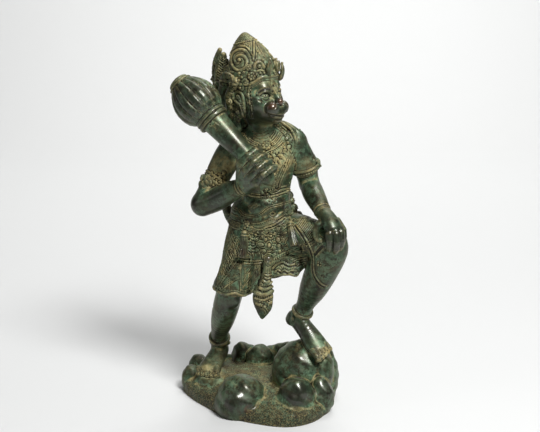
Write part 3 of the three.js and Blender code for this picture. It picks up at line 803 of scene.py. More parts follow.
# The pendant's axis from its knot to its tip: x, y, z and half its width.
PENDANT = (
    (6.3, -31.5, 170, 4.6), (5.6, -32.5, 161, 4.2), (5, -32.5, 154, 5.0), (4.2, -32.3, 146, 6.2),
    (3.4, -32, 139, 8.4), (1.6, -31.8, 132, 10.6), (1.0, -31.2, 126, 10.8), (1.7, -30.6, 118, 9.4),
    (0.9, -29.3, 111, 6.2), (0.2, -27.5, 104.5, 2.0),
)
PENDANT_BACK = (-3, -16, 168, 7, 10), (-4, -20, 152, 8, 10), (-6.5, -20, 136, 7.5, 9.5)
SWAGS = (  # three pixels and the radius
    ((264.8, 274.8), (268, 275.9), (271.4, 274.6), 0.8),
    ((264.4, 277.6), (267.6, 278.8), (271.6, 277.4), 0.8),
    ((262.4, 280.6), (266, 282.8), (269.6, 281.6), 1.0),
    ((265.4, 284.2), (269.6, 284.4), (272.6, 281.4), 1.0),
    ((258.6, 287.4), (264.6, 290), (272.8, 286.6), 1.25),
    ((254.4, 292.4), (263.6, 295.2), (273.2, 290.8), 1.6),
    ((253.6, 297.8), (262.6, 300.4), (272.6, 296.6), 0.9),
    ((256.4, 304), (263.6, 305.8), (271.4, 302.6), 1.3),
)
KNOT_STROKES = (266, 266.4, 266, 272.8), (270, 266.4, 270.2, 272.6)
KNOT_CURL = (269.2, 263.4)
SWAG_STROKES = (
    (263.4, 283.2, 266.2, 286.2), (270.8, 285, 268.4, 287.6), (260.6, 289.8, 262.4, 292),
    (266, 309, 268.4, 313.4), (262.4, 307.8, 265.6, 313.6),
)
FRINGE = [(255.4 + 1.9 * k, 295.9 + 0.5 * math.sin(k), 255.2 + 1.9 * k, 298.4) for k in range(9)]
SWAG_STUDS = (
    (259.8, 301.2), (262.2, 302), (267, 301.8), (269.4, 300.6), (264.6, 284.9), (261.4, 305.8),
    (268.2, 305.2),
)
TIP_STUD = (264.4, 306.4)


def pendant():
    """The end of the sash that hangs between the legs, drawn in with cords."""
    body.add(limb([(x, y, z, r, 0.42 * r + 1.9) for x, y, z, r in PENDANT]), 1.2)
    body.add(limb(PENDANT_BACK), 3)
    for *pixels, r in SWAGS:
        ridge(line(pixels, 7), r, 1.35 * r)
    strokes(KNOT_STROKES, 0.6)
    curl(seen(KNOT_CURL), 2.6, 1.0, 2.6, 1, 0.85)
    strokes(SWAG_STROKES, 0.6, bend=0.5)
    strokes(FRINGE, 0.5)
    studs(seen(SWAG_STUDS), 1.0)
    studs(seen(TIP_STUD), 1.9)
    edges = [[(x + 0.5 * r * s, 20, z) for x, _, z, r in PENDANT[2:9]] for s in SIDES]
    for edge in [body.march(starts, (0, -1, 0), 60, 0.25) for starts in edges]:
        groove(edge, 0.9, 0.7)


# The middle of the cloth over the standing thigh, by heights.
THIGH_AXIS = ((129, 153, 190), (-31.4, -24, -11), (-4, -1, 4))
SLANT = 0.36  # the side bands climb this many millimetres a degree
BAND_FROM, BAND_TO, LEAVES_FROM = 232, 168, 229  # degrees
BAND_FOOT, BAND_GAP = 133, 17  # millimetres


def round_cloth(angles, heights):
    """Points of the cloth over the standing thigh, met from outside at angles round it and at heights."""
    z = np.asarray(heights, float)
    ways = level(np.radians(np.asarray(angles, float)))
    zs, xs, ys = THIGH_AXIS
    axis = np.stack([np.interp(z, zs, xs), np.interp(z, zs, ys), z], axis=1)
    return body.march(axis + ways * 38, -ways, 38)


def side_pattern():
    """Slanting bands of beads and rows of pointed leaves on the outer side of the skirt."""
    angles = np.linspace(BAND_FROM, BAND_TO, 26)
    for lift in range(4):
        band = round_cloth(angles, BAND_FOOT + BAND_GAP * lift + (BAND_FROM - angles) * SLANT)
        ridge(band, 0.7, 0.9)
        ridge(beside(band, 3.0), 0.6, 0.8)
        studs(spaced(beside(band, 1.5), 2.1), 0.75, 0.55)
    leaves = []
    for row in range(9):
        for k in range(11):
            a = LEAVES_FROM - 6.2 * k
            z = 138.5 + 6.1 * row + (LEAVES_FROM - a) * SLANT
            if z < 198 and (z - BAND_FOOT - (BAND_FROM - a) * SLANT) % BAND_GAP > 5.5:
                heights = (z - 1.6, z + 0.4, z + 3)
                leaves += [round_cloth((a - 2.6 * s, a - 0.6 * s, a), heights) for s in (1, -1)]
    ridges(leaves, 0.6, 0.8, 0.3)


UPPER_BORDER = (238.8, 260.6), (245, 261.8), (251.7, 262.4), (258, 262.2), (264.2, 261.5)
SIDE_BORDER = (
    (240.2, 249.6), (238.4, 255), (235.2, 260.2), (231.4, 265.4), (227.6, 271), (223.4, 277),
    (218.6, 284.6),
    (216, 289),
)
FOLDS = (  # radius, then pixels
    (0.6, (240.2, 264.5), (240.4, 272), (240.2, 279), (240.6, 291.5)),
    (0.55, (228.9, 278.6), (229.6, 285), (229.8, 292)),
    (0.6, (240, 277.6), (234, 281), (227, 285.6), (220.6, 291)),
    (0.5, (238.8, 274.6), (233, 277.6), (227, 281.6)),
)
DARK_CORNER = (233.4, 287), (236.4, 284), (237.6, 287.6)
PIT_GAP = 1.7  # pixels between the pits above the corner
WORN_STROKES = (
    (252, 266, 242.4, 279), (258.4, 266, 243, 287.4), (262.4, 269, 249, 288.6), (262.4, 277, 253.4, 290),
    (250, 281.7, 249.6, 291), (253.3, 285, 245, 291), (258, 281, 251.6, 291.4), (261.7, 264, 260.8, 284),
    (245, 268, 244.6, 281), (255.6, 268, 256.4, 277),
)
PLEAT = (261.6, 265), (261.8, 273), (259, 281), (257.6, 288)
SIDE_LEAVES = (
    (224.5, 276, 222.6, 268), (226.6, 272.4, 224.8, 263), (230, 266.6, 227.4, 257),
    (233.6, 261, 230.6, 251),
    (236.6, 255.4, 233.6, 245.4), (238.6, 248.6, 236.4, 238.6),
)
SKIRT_HEM = (
    (215.6, 290.5), (220.5, 293.2), (226, 294.6), (231, 293.6), (236, 293.4), (241, 295.4), (245.4, 295.6),
    (249, 293), (252.5, 290.5),
)


def corner_pits():
    """A sunk dark corner of the skirt, and pits in rows above it."""
    corner = [oval(p, (3.6, 3, 4)) for p in seen(DARK_CORNER)]
    body.near(corner, lambda s: -0.7 * smooth((1.2 - s) / 1.6), 3)
    dots = [(x + PIT_GAP / 2 * (round(y / PIT_GAP) % 2), y)
            for y in np.arange(264.8, 277.4, PIT_GAP) for x in np.arange(228, 240, PIT_GAP)
            if x > 243.5 - (y - 257) * 0.93 and y < 278.4 - (x - 229) * 0.25]
    pits(seen(dots), 0.62, 0.45)


def skirt_lines():
    """Bands, folds and patterns of the cloth over the standing thigh, and its hem."""
    border(line(UPPER_BORDER), 1.5, 0.6, hole=0.72)
    border(line(SIDE_BORDER), 1.9, 0.7, hole=0.95, rise=0.7)
    for r, *pixels in FOLDS:
        ridge(line(pixels), r)
    corner_pits()
    strokes(WORN_STROKES, 0.5, 0.5, 0.3)
    groove(line(PLEAT), 1.1, 1.4)
    for row in range(8):
        for k in range(3):
            x, y = 222.2 + 1.7 * row + 3.4 * k, 271.6 - 4.6 * row + 1.6 * k
            if x < 239.4 and y < 263 - (x - 229) * 1.5 + 8:
                crossed = (x - 1.2, y + 1.4, x + 1.2, y - 3), (x + 1.6, y + 0.8, x - 0.6, y - 2.6)
                strokes(crossed, 0.5, 0.55, 0.4)
    strokes(SIDE_LEAVES, 0.6, 0.8, 0.5)
    hem = line(SKIRT_HEM)
    ridge(hem, 1.2)
    ridge(beside(hem, -2.6)[3:-3], 0.6, 0.5)
    ridge(behind(hem[0], hem[-1], (-31, -3, 0), 0.0, 34, 30)[1:-1], 1.2)
    # soft folds round the back
    for k in range(7):
        fold = round_cloth(np.full(12, 150 - 17 * k), np.linspace(132, 178 + 8 * math.sin(2.1 * k), 12))
        groove(fold, 2.2, 1.3)
        ridge(beside(fold, 3.6), 2.0, 0.7, 0)


# The front edge of the cloth over the raised thigh.
KNEE_EDGE = (
    (296.4, 225), (301.7, 232.6), (307.2, 242), (311.6, 250.6), (313.5, 258), (313.4, 267.6), (315, 275.4),
    (319.6, 282.4), (323.4, 285.2), (326.6, 286),
)
LAP_HEM = (  # the ragged hem between the legs: pixels and the depth of each
    (272.5, 276.4, -30), (277, 274.9, -31), (284, 274.4, -32.5), (290, 274.2, -32.5), (296.2, 275.4, -31),
    (299.6, 270.8, -28.5), (304, 266.8, -24),
)
LAP_WAVE = (
    (272.8, 268.6), (276, 265.4), (280, 262.8), (283.4, 262.4), (287, 264.4), (290.4, 265.4),
    (294.6, 264.4),
)
LOWER_WAVE = (
    (274.6, 272.4), (277.8, 270), (281, 271.8), (284.4, 270.4), (288, 272), (292, 270.4), (296.6, 271),
)
HEM_NICKS = (278.6, 271.9), (284.8, 272.6), (291.6, 272.4)
LAP_STROKES = (  # rows of pixels, radius, rise and bend
    (((287, 252, 302, 246.4), (288.6, 255, 304, 250), (290, 258, 306, 254.4), (293.6, 261.4, 307, 258),
      (297, 266.4, 306.4, 262)), 0.6, 0.7, 0.8),
    ([(274.2 + 2.1 * k, 259.8 - k, 276 + 2.1 * k, 256.2 - k) for k in range(7)], 0.65, 0.9, 0.3),
    (((276, 268.4, 279, 265.8), (282.4, 267.8, 281, 265), (286.6, 268.6, 285.8, 266),
      (291, 269, 292.6, 266.8),
      (276.4, 263, 279.4, 260.4), (281, 261, 284.6, 259), (286.4, 262.4, 289, 260.4)), 0.5, 0.6, 0.0),
)
STRIPE_FROM, STRIPE_GAP = np.array([299.2, 221]), 1.75
STRIPE_ACROSS, STRIPE_WAY = np.array([0.80, 0.60]), np.array([0.60, -0.80])
KNEE_FOLD = (314.9, 254.9), (318.6, 250.6), (322.2, 246.6)
KNEE_STROKES = (306, 243.6, 312, 238.6), (308.6, 247.6, 315, 243), (311, 240, 316.6, 236.4)
FLOWERS = (  # pixel, reach and radius of the four petals
    (319.2, 264, 2.1, 1.05), (316.5, 273, 0.9, 0.5), (321.5, 276, 0.9, 0.5), (325.5, 266, 0.9, 0.5),
)


def lap_hem():
    """The ragged hem between the legs: a wall that slopes up to the cloth, in front and behind."""
    foot_line = through(LAP_HEM, 4)
    front = at_depth(foot_line[:, :2], foot_line[:, 2])
    body.add([cone(p, q, 1.7, 5) for p, q in zip(front, front + (-2.5, 7.0, 15.0))], 1.6)
    body.add(rope(front, 1.2, 1), 0.6)
    back = front + (-1, 26, 1.5)
    body.add([cone(p, q, 1.9, 5) for p, q in zip(back, back + (0, -5.0, 16.0))], 1.6)


def flower(x, y, reach, size):
    p = seen_one(x, y)
    n, u, v = frame_at(p)
    for quarter in np.radians(45 + 90 * np.arange(4)):
        way = u * math.cos(quarter) + v * math.sin(quarter)
        studs(settled((p + way * reach)[None], n, 2), size, 0.5)
    pits(p, 0.8 * size, 0.6)


def lap_lines():
    """The waves of the ragged hem, and the edge, stripes and flowers of the raised thigh's cloth."""
    lap_hem()
    wave = line(LAP_WAVE)
    ridge(wave, 1.0, 1.3)
    groove(beside(wave, 1.7), 0.9, 1.3)
    ridge(line(LOWER_WAVE), 0.8)
    for x, y in HEM_NICKS:
        groove(seen([(x - 1.6, y - 0.8), (x, y), (x + 1.8, y + 0.9)]), 0.9, 1.5)
    for row in LAP_STROKES:
        strokes(*row)
    edge = line(KNEE_EDGE)
    ridge(edge, 0.85, 1.2)
    groove(beside(edge, 1.7), 0.7, 1.1)
    ridge(beside(edge, 3.1), 0.5, 0.6)
    studs(spaced(beside(edge, 3.2)[8:], 2.4), 0.6, 0.5)
    ridge(round_limb((60, -20, 147), (0.25, -0.3, 0.93), 34, 30, 20, 215, turned(-20)), 0.85)
    # fine stripes run from the edge up to the hip
    for k in range(13):
        middle = STRIPE_FROM + k * STRIPE_GAP * STRIPE_ACROSS
        low, high = middle - STRIPE_WAY * (3.6 + 0.5 * k), middle + STRIPE_WAY * (4.2 + 0.2 * k - (k % 3))
        ridge(seen(np.linspace(low, high, 12)), 0.5, 0.5, 0.5)
    fold = line(KNEE_FOLD)
    groove(fold, 1.1, 2.0)
    for off in (-2.2, 2.0):
        ridge(beside(fold, off), 0.7, 0.8, 0.2)
    strokes(KNEE_STROKES, 0.6, 0.7)
    for row in FLOWERS:
        flower(*row)


WAIST, HIP = (5.3, 2, 0), (4, 4, 0)  # the belts go round these
SASH_EDGE = (
    (241.5, 191.5), (248.6, 194.8), (256, 196.6), (263.2, 197.3), (270, 196.6), (277, 195), (283, 193),
    (287.8, 191),
)
BELLY_TOP = (
    (239.6, 210.5), (242.5, 214), (247, 216), (253, 216.2), (259, 214.8), (263.6, 211.8), (267.8, 208.2),
    (274, 206.2), (280, 204.8), (285, 203.2),
)
BELLY_LOW = (
    (241, 217.4), (246, 221.6), (252.3, 223.6), (259.5, 223.4), (266.8, 220.9), (271.4, 219.4),
    (277.7, 219.2),
    (284.8, 215),
)
BELT_TOP = (250, 229.6), (256, 230), (262, 229), (268, 226.6), (274, 224.6), (280, 220.6), (284.8, 217)
BELT = (
    (243, 227), (248, 229.6), (255, 231.8), (262, 232.9), (269, 232.3), (276, 230), (283, 225.8),
    (289, 219.8),
)
LOZENGES = (272.6, 214, 3.0, 2.2), (269.8, 228, 3.2, 2.3), (250, 206.6, 2.2, 1.2)
BELT_ROSETTES = (  # pixel, radius and petals
    (246, 223.8, 4.2, 7), (286.6, 210.6, 2.6, 6), (289.8, 213.6, 2.4, 6), (287.2, 217.6, 3.0, 6),
    (291, 219, 2.4, 6), (277.7, 229.4, 2.6, 6), (270.6, 232.4, 2.2, 6), (249, 236.5, 2.2, 6),
    (255.5, 235.5, 2.0, 6),
)
FAN = (279.6, 236.6)
SASH_ROSETTES = (
    (262.6, 193.4, 2.2), (266.4, 190.6, 2.4), (270.4, 192.2, 2.5), (274, 189.8, 2.4), (267.6, 194.8, 1.8),
)
SASH_FRINGE = [(261.4 + 2.05 * k, 197.6 + 0.25 * math.sin(k)) for k in range(8)]
SASH_FOLDS = (276, 193, 288, 188.6), (277, 196, 288.4, 192.4), (276.4, 190.4, 286.4, 186)
BELLY_STUDS = (269.6, 201.2), (272.4, 203.4), (275, 201), (272.3, 199)
BELLY_CREASES = (252, 205.6, 256.6, 203.8), (253, 208, 259, 205.4)


def belts():
    """The sash under the chest, the curved edges of the belly cloth, and the ornament belt on the hips."""
    sash = closed(line(SASH_EDGE), WAIST)
    ridge(sash, 0.85, 1.1)
    ridge(beside(sash, -2.4), 0.55)
    top = closed(line(BELLY_TOP), WAIST, 1)
    for off in (-0.85, 0.85):
        ridge(beside(top, off), 0.5)
    low = closed(line(BELLY_LOW), WAIST, 1)
    ridge(low, 0.8)
    pits(spaced(low, 2.2), 0.5, 0.7)
    ridge(beside(low, 1.7), 0.5)
    ridge(line(BELT_TOP), 0.8)
    belt = closed(line(BELT), HIP, 0, 34)
    border(belt, 3.4, 0.6, rise=0.9)
    studs(spaced(belt, 4.9), 1.3)
    for off in (-1.8, 1.8):
        studs(spaced(beside(belt, off), 2.7), 0.6, 0.5)
    for row in LOZENGES:
        lozenge(*row)
        pits(seen(row[:2]), 0.9, 0.6)
    for x, y, r, petals in BELT_ROSETTES:
        rosette(seen((x, y)), r, petals)
    ways = [(math.cos(t), -math.sin(t)) for t in np.radians(np.arange(10, 171, 27))]
    x, y = FAN
    strokes([(x + 3.8 * u, y + 3.8 * v, x + 0.9 * u, y + 0.9 * v) for u, v in ways], 0.5)
    for x, y, r in SASH_ROSETTES:
        rosette(seen((x, y)), r, 5, 0.4 * x)
    for x, y in SASH_FRINGE:
        leaf(seen_one(x, y), (0.1, 0, -1), 3.6, 2.0, 0.6)
    strokes(SASH_FOLDS, 0.7, bend=0.8)
    studs(seen(BELLY_STUDS), 0.85)
    strokes(BELLY_CREASES, 0.45, 0.4)


APRON_STUDS = (  # pixel, half the width and half the height in millimetres
    (277.8, 239.4, 2.8, 2.7), (269.2, 245.4, 2.2, 3.0), (260.7, 244.6, 4.0, 2.7), (268.8, 257, 3.6, 2.6),
    (270.6, 235.8, 2.0, 1.8),
)
APRON_SCROLLS = (
    (252.6, 243.2, 2.2, 3.6, 1), (256, 250.4, 2.4, 0.2, 1), (264.2, 251.6, 2.2, 4.0, -1),
    (263.4, 257.4, 2.1, 1.0, 1), (265.4, 240.2, 2.2, 4.4, -1), (273.8, 249, 2.3, 3.1, -1),
    (273.8, 255.4, 2.0, 0.3, 1), (278.4, 246.4, 2.2, 5.0, 1), (282.6, 240.6, 2.4, 2.0, -1),
    (283.6, 247.4, 2.2, 0.9, 1), (279.4, 251.8, 2.0, 3.3, -1), (275.4, 234.4, 1.9, 1.4, 1),
    (262.3, 237, 1.9, 0.1, -1), (256.4, 239, 2.1, 2.4, 1), (273.6, 241.4, 2.0, 0.8, -1),
)
APRON_STROKES = (  # rows of pixels, radius, rise and bend
    ([(250, 237.6 + 2.9 * k, 253.8, 239 + 2.9 * k) for k in range(5)], 0.8, 1.0, -0.6),
    ([(248.6, 238 + 2.9 * k, 251, 240 + 2.9 * k) for k in range(6)], 0.6),
    ([(252.6 + 2.3 * k, 253.6, 253.4 + 2.3 * k, 258.8) for k in range(5)], 0.65, 0.9, 0.4),
    (((250.6, 233.4, 257, 235.4), (258, 235.6, 261, 239), (254.4, 240.6, 258.4, 237.6),
      (262, 247.6, 266.6, 249),
      (258.6, 249.4, 262, 247.4), (266.4, 253, 270.6, 251.4), (271.8, 252.6, 276.6, 250.8),
      (281, 236, 286.4, 232.6), (282.6, 250.4, 287, 247.2), (285.2, 243.6, 287.6, 238.4)), 0.6, 0.8, 0.6),
)
APRON_BEADS = (
    (255, 246.4), (249.4, 250.6), (265.4, 246.6), (273.3, 244.6), (272.3, 238.2), (282.5, 236.8),
    (286.6, 244.4),
    (259.4, 253.4), (248.6, 254.8), (276.2, 243),
)
APRON_LEAVES = (265, 260, -0.5), (273.6, 260, 0.5)


def apron():
    """Studs, loops and scrolls that fill the front of the skirt under the belt."""
    for x, y, wide, high in APRON_STUDS:
        p = seen_one(x, y)
        n, u, v = frame_at(p)
        body.add([oval(p, (wide, high, 2.2), (1, 0, 0), n)], 0.3)
        ridge(settled(circle(p, u, v, wide + 1.1, high + 1.1, 19), n, 3), 0.6)
    curls(APRON_SCROLLS, 1.2, 0.7, 1.05)
    for row in APRON_STROKES:
        strokes(*row)
    studs(seen(APRON_BEADS), 0.85)
    for x, y, lean in APRON_LEAVES:
        leaf(seen_one(x, y), (lean, 0, -1), 4.5, 2.4, 0.7)


KNOT = (  # place and half sizes of the lumps of the bow's knot
    ((25, 18, 226), (9, 7, 7)), ((25, 19, 212), (12, 8, 9)), ((-16, 18, 222), (10, 8, 9)),
    ((6, 22, 224), (9, 8, 8)),
)
BOW_LOBES = (289, 195.4, 12, 3.2), (291.4, 200.6, 12, 4.0), (293.4, 208, 12, 5.2), (297.6, 215.6, 10, 5.0)
RIGHT_LOBES = (-23, 18, 227), (-25, 18, 217)
SASH_END = (4, 24, 222, 6, 4), (9, 27, 205, 8, 3.6), (11, 26, 188, 9, 3.4), (12, 24, 172, 9, 3)


def bow():
    """The knot of the sash behind the waist, seen past the left hip as a lobed edge, and its two ends."""
    for c, halves in KNOT:
        body.add([oval(c, halves, CHEST)], 1.6)
    # each lobe: a pixel on its edge, its depth and radius
    for c, r in [(at_depth((x, y), depth)[0], r) for x, y, depth, r in BOW_LOBES]:
        body.add([oval(c, (r, 4.2, r), CHEST)], 1.0)
        for t in np.radians(20 + 28 * np.arange(-3, 4)):
            starts = [c + (0.25 * r * math.cos(t) * s, -20, 0.25 * r * math.sin(t) * s)
                      for s in (1.6, 2.6, 3.6)]
            groove(body.march(starts, (0, 1, 0), 24, 0.25), 0.5, 0.4)
    body.add([oval(p, (4.6, 4, 4.6)) for p in RIGHT_LOBES], 2.0)
    for s in SIDES:
        rows = [(6 + x * s, *rest) for x, *rest in SASH_END]
        body.add(limb(rows), 1.2)
        for off in (-5, -2.2, 0.8, 3.8):
            path = [(x + off * (wide / 9), 45, z) for x, _, z, wide, _ in rows]
            groove(body.march(through(path, 4), (0, -1, 0), 30, 0.25), 1.0, 0.9)


HIP_TASSEL = (290.9, 224.4), (294.2, 243.4)

bow()
belts()
apron()
tassel((-18.2, -21.5, 195), (-20, -26.5, 172.5), 3.4, 4.7)
hip_tassel = seen(HIP_TASSEL)
tassel(*hip_tassel + facing(hip_tassel) * (1.6, 2.4, 1.6), 3.0, 4.4, 7)
pendant()
side_pattern()
skirt_lines()
lap_lines()


NAPE = (1, 3, 0)  # the collar goes round this
COLLAR = (
    (248, 139.5), (252, 142.4), (258, 145), (262, 146.4), (266, 147), (270, 145.6), (274.6, 142),
    (278, 137.8),
    (280.2, 133.8),
)
NECK_CREASES = (
    ((252.5, 131.5), (257, 133.6), (262.5, 133), (267.5, 130.8)),
    ((254, 134.7), (258.5, 136.4), (264, 135.6), (268.5, 133.4)),
    ((254, 138), (259.5, 139.4), (265, 138.8), (270, 136)),
)
COLLAR_END = (272.5, 138.8), (275, 135.5), (276.8, 132)
COLLAR_ROSETTE, COLLAR_BOSSES = (266.2, 145.6), ((260.2, 144.6), (272.4, 144.4))
STRAP_LINES = (  # radius, then pixels
    (1.0, (275.5, 121.6), (281, 121.9), (286, 125.3), (290.7, 129.4), (294.3, 135), (295.7, 141),
     (296.3, 149),
     (295.3, 156), (293.6, 162.5)),
    (0.7, (282, 126.5), (286.5, 129.8), (290, 134), (292.2, 139), (292.7, 146), (291.5, 152.5)),
    (0.7, (275, 125.3), (279, 128.8), (283.3, 132.6), (286, 136.6), (287.4, 140)),
)
STRAP_BEADS = (277.8, 125.4), (280.2, 127.8), (282.7, 130.4), (285.3, 133.4), (288, 133.6), (286.2, 130)
STRAP_LEAVES = (
    (286.8, 138.2, (0.6, 0, 0.8)), (290.4, 140.4, (0.9, 0, 0.3)), (288.5, 142.6, (0.8, 0, -0.4)),
)
CROSSED = ((293.4, 151.5), (295, 158.5)), ((293, 158.5), (296, 152))
STRAP_LOZENGE = (294.2, 155, 1.7, 3.0)
SECOND_STRAP = (243.6, 124.8, 1.7), (243.4, 129.4, 1.9), (242.8, 134.4, 1.9), (245.4, 139, 1.6)
RING_STOP = 6.283  # radians: the rings of the second strap stop a hair before they close


def necklace():
    """A beaded collar with a rosette, creases of the neck above it, and the strap over the left shoulder."""
    border(closed(line(COLLAR), NAPE, 9, 26), 1.9, 0.6, 0.8, 0.5)
    for crease in NECK_CREASES:
        groove(line(crease), 0.7, 0.55)
    inner = line(COLLAR_END)
    ridge(inner, 0.7)
    ridge(beside(inner, -2.2), 0.6)
    rosette(seen(COLLAR_ROSETTE), 4.9, 8)
    for pixel in COLLAR_BOSSES:
        studs(seen(pixel), 1.3)
    for r, *pixels in STRAP_LINES:
        ridge(line(pixels), r)
    for pixel in STRAP_BEADS:
        studs(seen(pixel), 1.2)
    for x, y, way in STRAP_LEAVES:
        leaf(seen_one(x, y), way, 5.6, 3.6, 1.3)
    for a, b in CROSSED:
        ridge(seen(np.linspace(a, b, 6)), 0.5)
    lozenge(*STRAP_LOZENGE)
    # the strap goes on over the shoulder and down the back
    starts = [(x, 60, z) for x, z in zip(np.linspace(25, 4, 26), np.linspace(296, 236, 26))]
    border(body.march(starts, (0, -1, 0), 62, 0.4), 2.6, 0.7, 0, 0.5)
    # the mark of the second strap, near the mace
    for x, y, r in SECOND_STRAP:
        p = seen_one(x, y)
        n, u, v = frame_at(p)
        ridge(settled(circle(p, u, v, r, r, 15, RING_STOP), n, 2.5), 0.6)


BREAST_CURLS = (  # pixel, radius, start, sense and turns
    (268.6, 158.8, 3.0, 0.8, 1, 1.3), (273.4, 156.2, 2.4, 3.4, -1, 1.2), (275.9, 160, 2.4, 0.4, 1, 1.2),
    (280.8, 156.2, 2.5, 2.8, -1, 1.2), (285.2, 151.6, 2.3, 1.0, 1, 1.1), (289.2, 146.8, 2.0, 4.0, -1, 1.0),
)
BREAST_STUDS = (280, 152.4), (284.2, 147.6), (271.3, 153.4), (276.6, 153.2)
BREAST_EDGE = (266.4, 154.2), (270, 152.3), (274.4, 150.6), (278.3, 148), (281.7, 145.2), (284.2, 142.6)
BREAST_LEAVES = (  # pixel, and the way each leaf points across and up
    (268.8, 163.4, -0.2, -1), (272.4, 165, 0, -1), (276.2, 164.6, 0.15, -1), (279.8, 161.8, 0.3, -1),
    (283.2, 158, 0.4, -1), (286.6, 154, 0.5, -0.9), (289.4, 150.4, 0.6, -0.8),
)
FLOWER_CHAIN = (
    (273, 169.4, 2.5), (285.2, 165.4, 2.0), (273.6, 174.4, 2.3), (273.2, 179.6, 2.4), (272.3, 184.4, 2.2),
)
JACKET_EDGE = (289.9, 160.4), (287.5, 166), (285, 172), (282.6, 177.5), (280.6, 182.5), (279, 189)
JACKET_LINES = (  # radius, then pixels
    (0.7, (283.2, 166.5), (280.6, 172.5), (278.2, 178.5), (276.8, 185)),
    (0.6, (295, 163), (294.6, 170), (292.6, 177), (289.6, 183.5)),
)


def breast():
    """The hanging chest ornament of scrolls and leaves, the flower chain and the side lines of the jacket."""
    for x, y, r, start, sense, turns in BREAST_CURLS:
        curl(seen((x, y)), r, turns, start, sense, 0.85)
    studs(seen(BREAST_STUDS), 1.35)
    upper = line(BREAST_EDGE)
    studs(spaced(upper, 2.3), 0.8)
    ridge(beside(upper, -1.7), 0.5)
    for x, y, across, up in BREAST_LEAVES:
        leaf(seen_one(x, y), (across, 0, up), 5.0, 3.2, 0.95)
    rosettes(FLOWER_CHAIN, 6)
    edge = line(JACKET_EDGE)
    ridge(edge, 0.85)
    ridge(beside(edge, 2.6), 0.7)
    for r, *pixels in JACKET_LINES:
        ridge(line(pixels), r)
    for k in range(6):
        studs(seen((279.6 - 0.9 * k, 168 + 2.7 * k)), 0.62)


RIGHT_UPPER_ARM = (
    (-24, 6, 284, 13.4, 14.2), (-33, 3, 276, 14.8, 14.4), (-42.5, -1.5, 260, 14.0, 13.4),
    (-50, -5, 245, 13, 12.4), (-60.5, -8, 226, 12.6, 12.6),
)
RIGHT_FOREARM = (
    (-62.4, -9, 223.2, 12.7, 12.6), (-47, -17.5, 231, 12.8, 12.4), (-33, -26.5, 240.5, 11.6, 11.2),
    (-20.5, -35, 248, 8.8, 8.8), (-13, -39.5, 255, 9, 9),
)
LEFT_SLEEVE = (34.5, 4, 286, 12.6, 13), (39.4, 7, 275, 13.4, 14), (44.6, 10, 263, 14, 14.4)
LEFT_UPPER_ARM = (44.6, 10, 263, 14, 14.4), (47.8, 11.8, 252, 11.8, 12.4), (50.4, 13.5, 240, 10.6, 11.6)
LEFT_FOREARM = (
    (50.4, 13.5, 241, 10.8, 11.2), (54.3, -2, 233.5, 11.4, 11.6), (59.1, -18, 226.5, 10.1, 10.2),
    (63.7, -32, 219.5, 8.1, 8.2),
)


def arms():
    for rows, soft in ((RIGHT_UPPER_ARM, 3), (RIGHT_FOREARM, 2), (LEFT_SLEEVE, 3), (LEFT_UPPER_ARM, 2),
                       (LEFT_FOREARM, 2)):
        body.add(limb(rows, HIPS), soft)


CUFF, CUFF_WAY = np.array([45.8, 10.4, 261.0]), unit([4, 3.2, -13])
CUFF_POINT, CUFF_TIP = CUFF + (14.0, -4.5, 1.0), CUFF + (16.6, -6.0, 0.5)
CUFF_LEAVES = (314.5, 161.5), (318, 160.2)
LEFT_WRIST, LEFT_WRIST_WAY = np.array([62.6, -28.6, 221.2]), (5, -14, -7)
RIGHT_WRIST, RIGHT_WRIST_WAY = np.array([-20.2, -35.2, 248.2]), unit([12.5, -8.5, 8])
ARMLET, ARMLET_WAY = np.array([-47.5, -4, 251.5]), unit([-9.5, -3.5, -15])
CREST = np.array([-55.5, -15.0, 250.5])
ARMLET_CURLS = (
    (203.5, 175.6, 2.8, 1.0, 1), (208.6, 177.8, 2.6, 3.0, -1), (214.3, 178.6, 2.8, 0.5, 1),
    (219.6, 176.4, 2.6, 2.0, -1), (223.8, 172.8, 2.2, 4.0, 1), (211.5, 172.8, 2.2, 5.0, -1),
)
ARMLET_LEAVES = (206.5, 182), (211, 184), (216.3, 183.4), (221, 181), (225, 177.5)


def cuff():
    """The sleeve's flared edge, with a row of beads hanging from it and a point at its outer side."""
    u, v, _ = basis((1, 0, 0), CUFF_WAY)
    edge = circle(CUFF, u, v, 15.4, 15.4, 37)
    body.add(chain(edge, 1.5), 1.2)
    dent(chain(edge, 10 * HAIRLINE), 0.5, 0, 0.4, 2)
    body.add([ball(p, 1.75) for p in circle(CUFF + CUFF_WAY * 3.4, u, v, 14.6, 14.6, 37)[:-1]], 0.2)
    ridge(round_limb(CUFF + CUFF_WAY * 6.6, CUFF_WAY, 26), 0.8)
    body.add([cone(CUFF_POINT, CUFF_TIP, 3.2, 0.8), cone(CUFF_POINT + (-2, -3, 5), CUFF_TIP, 1.4, 0.8)], 0.8)
    for x, y in CUFF_LEAVES:
        leaf(seen_one(x, y), (0.5, 0, -0.8), 5, 3, 0.9)


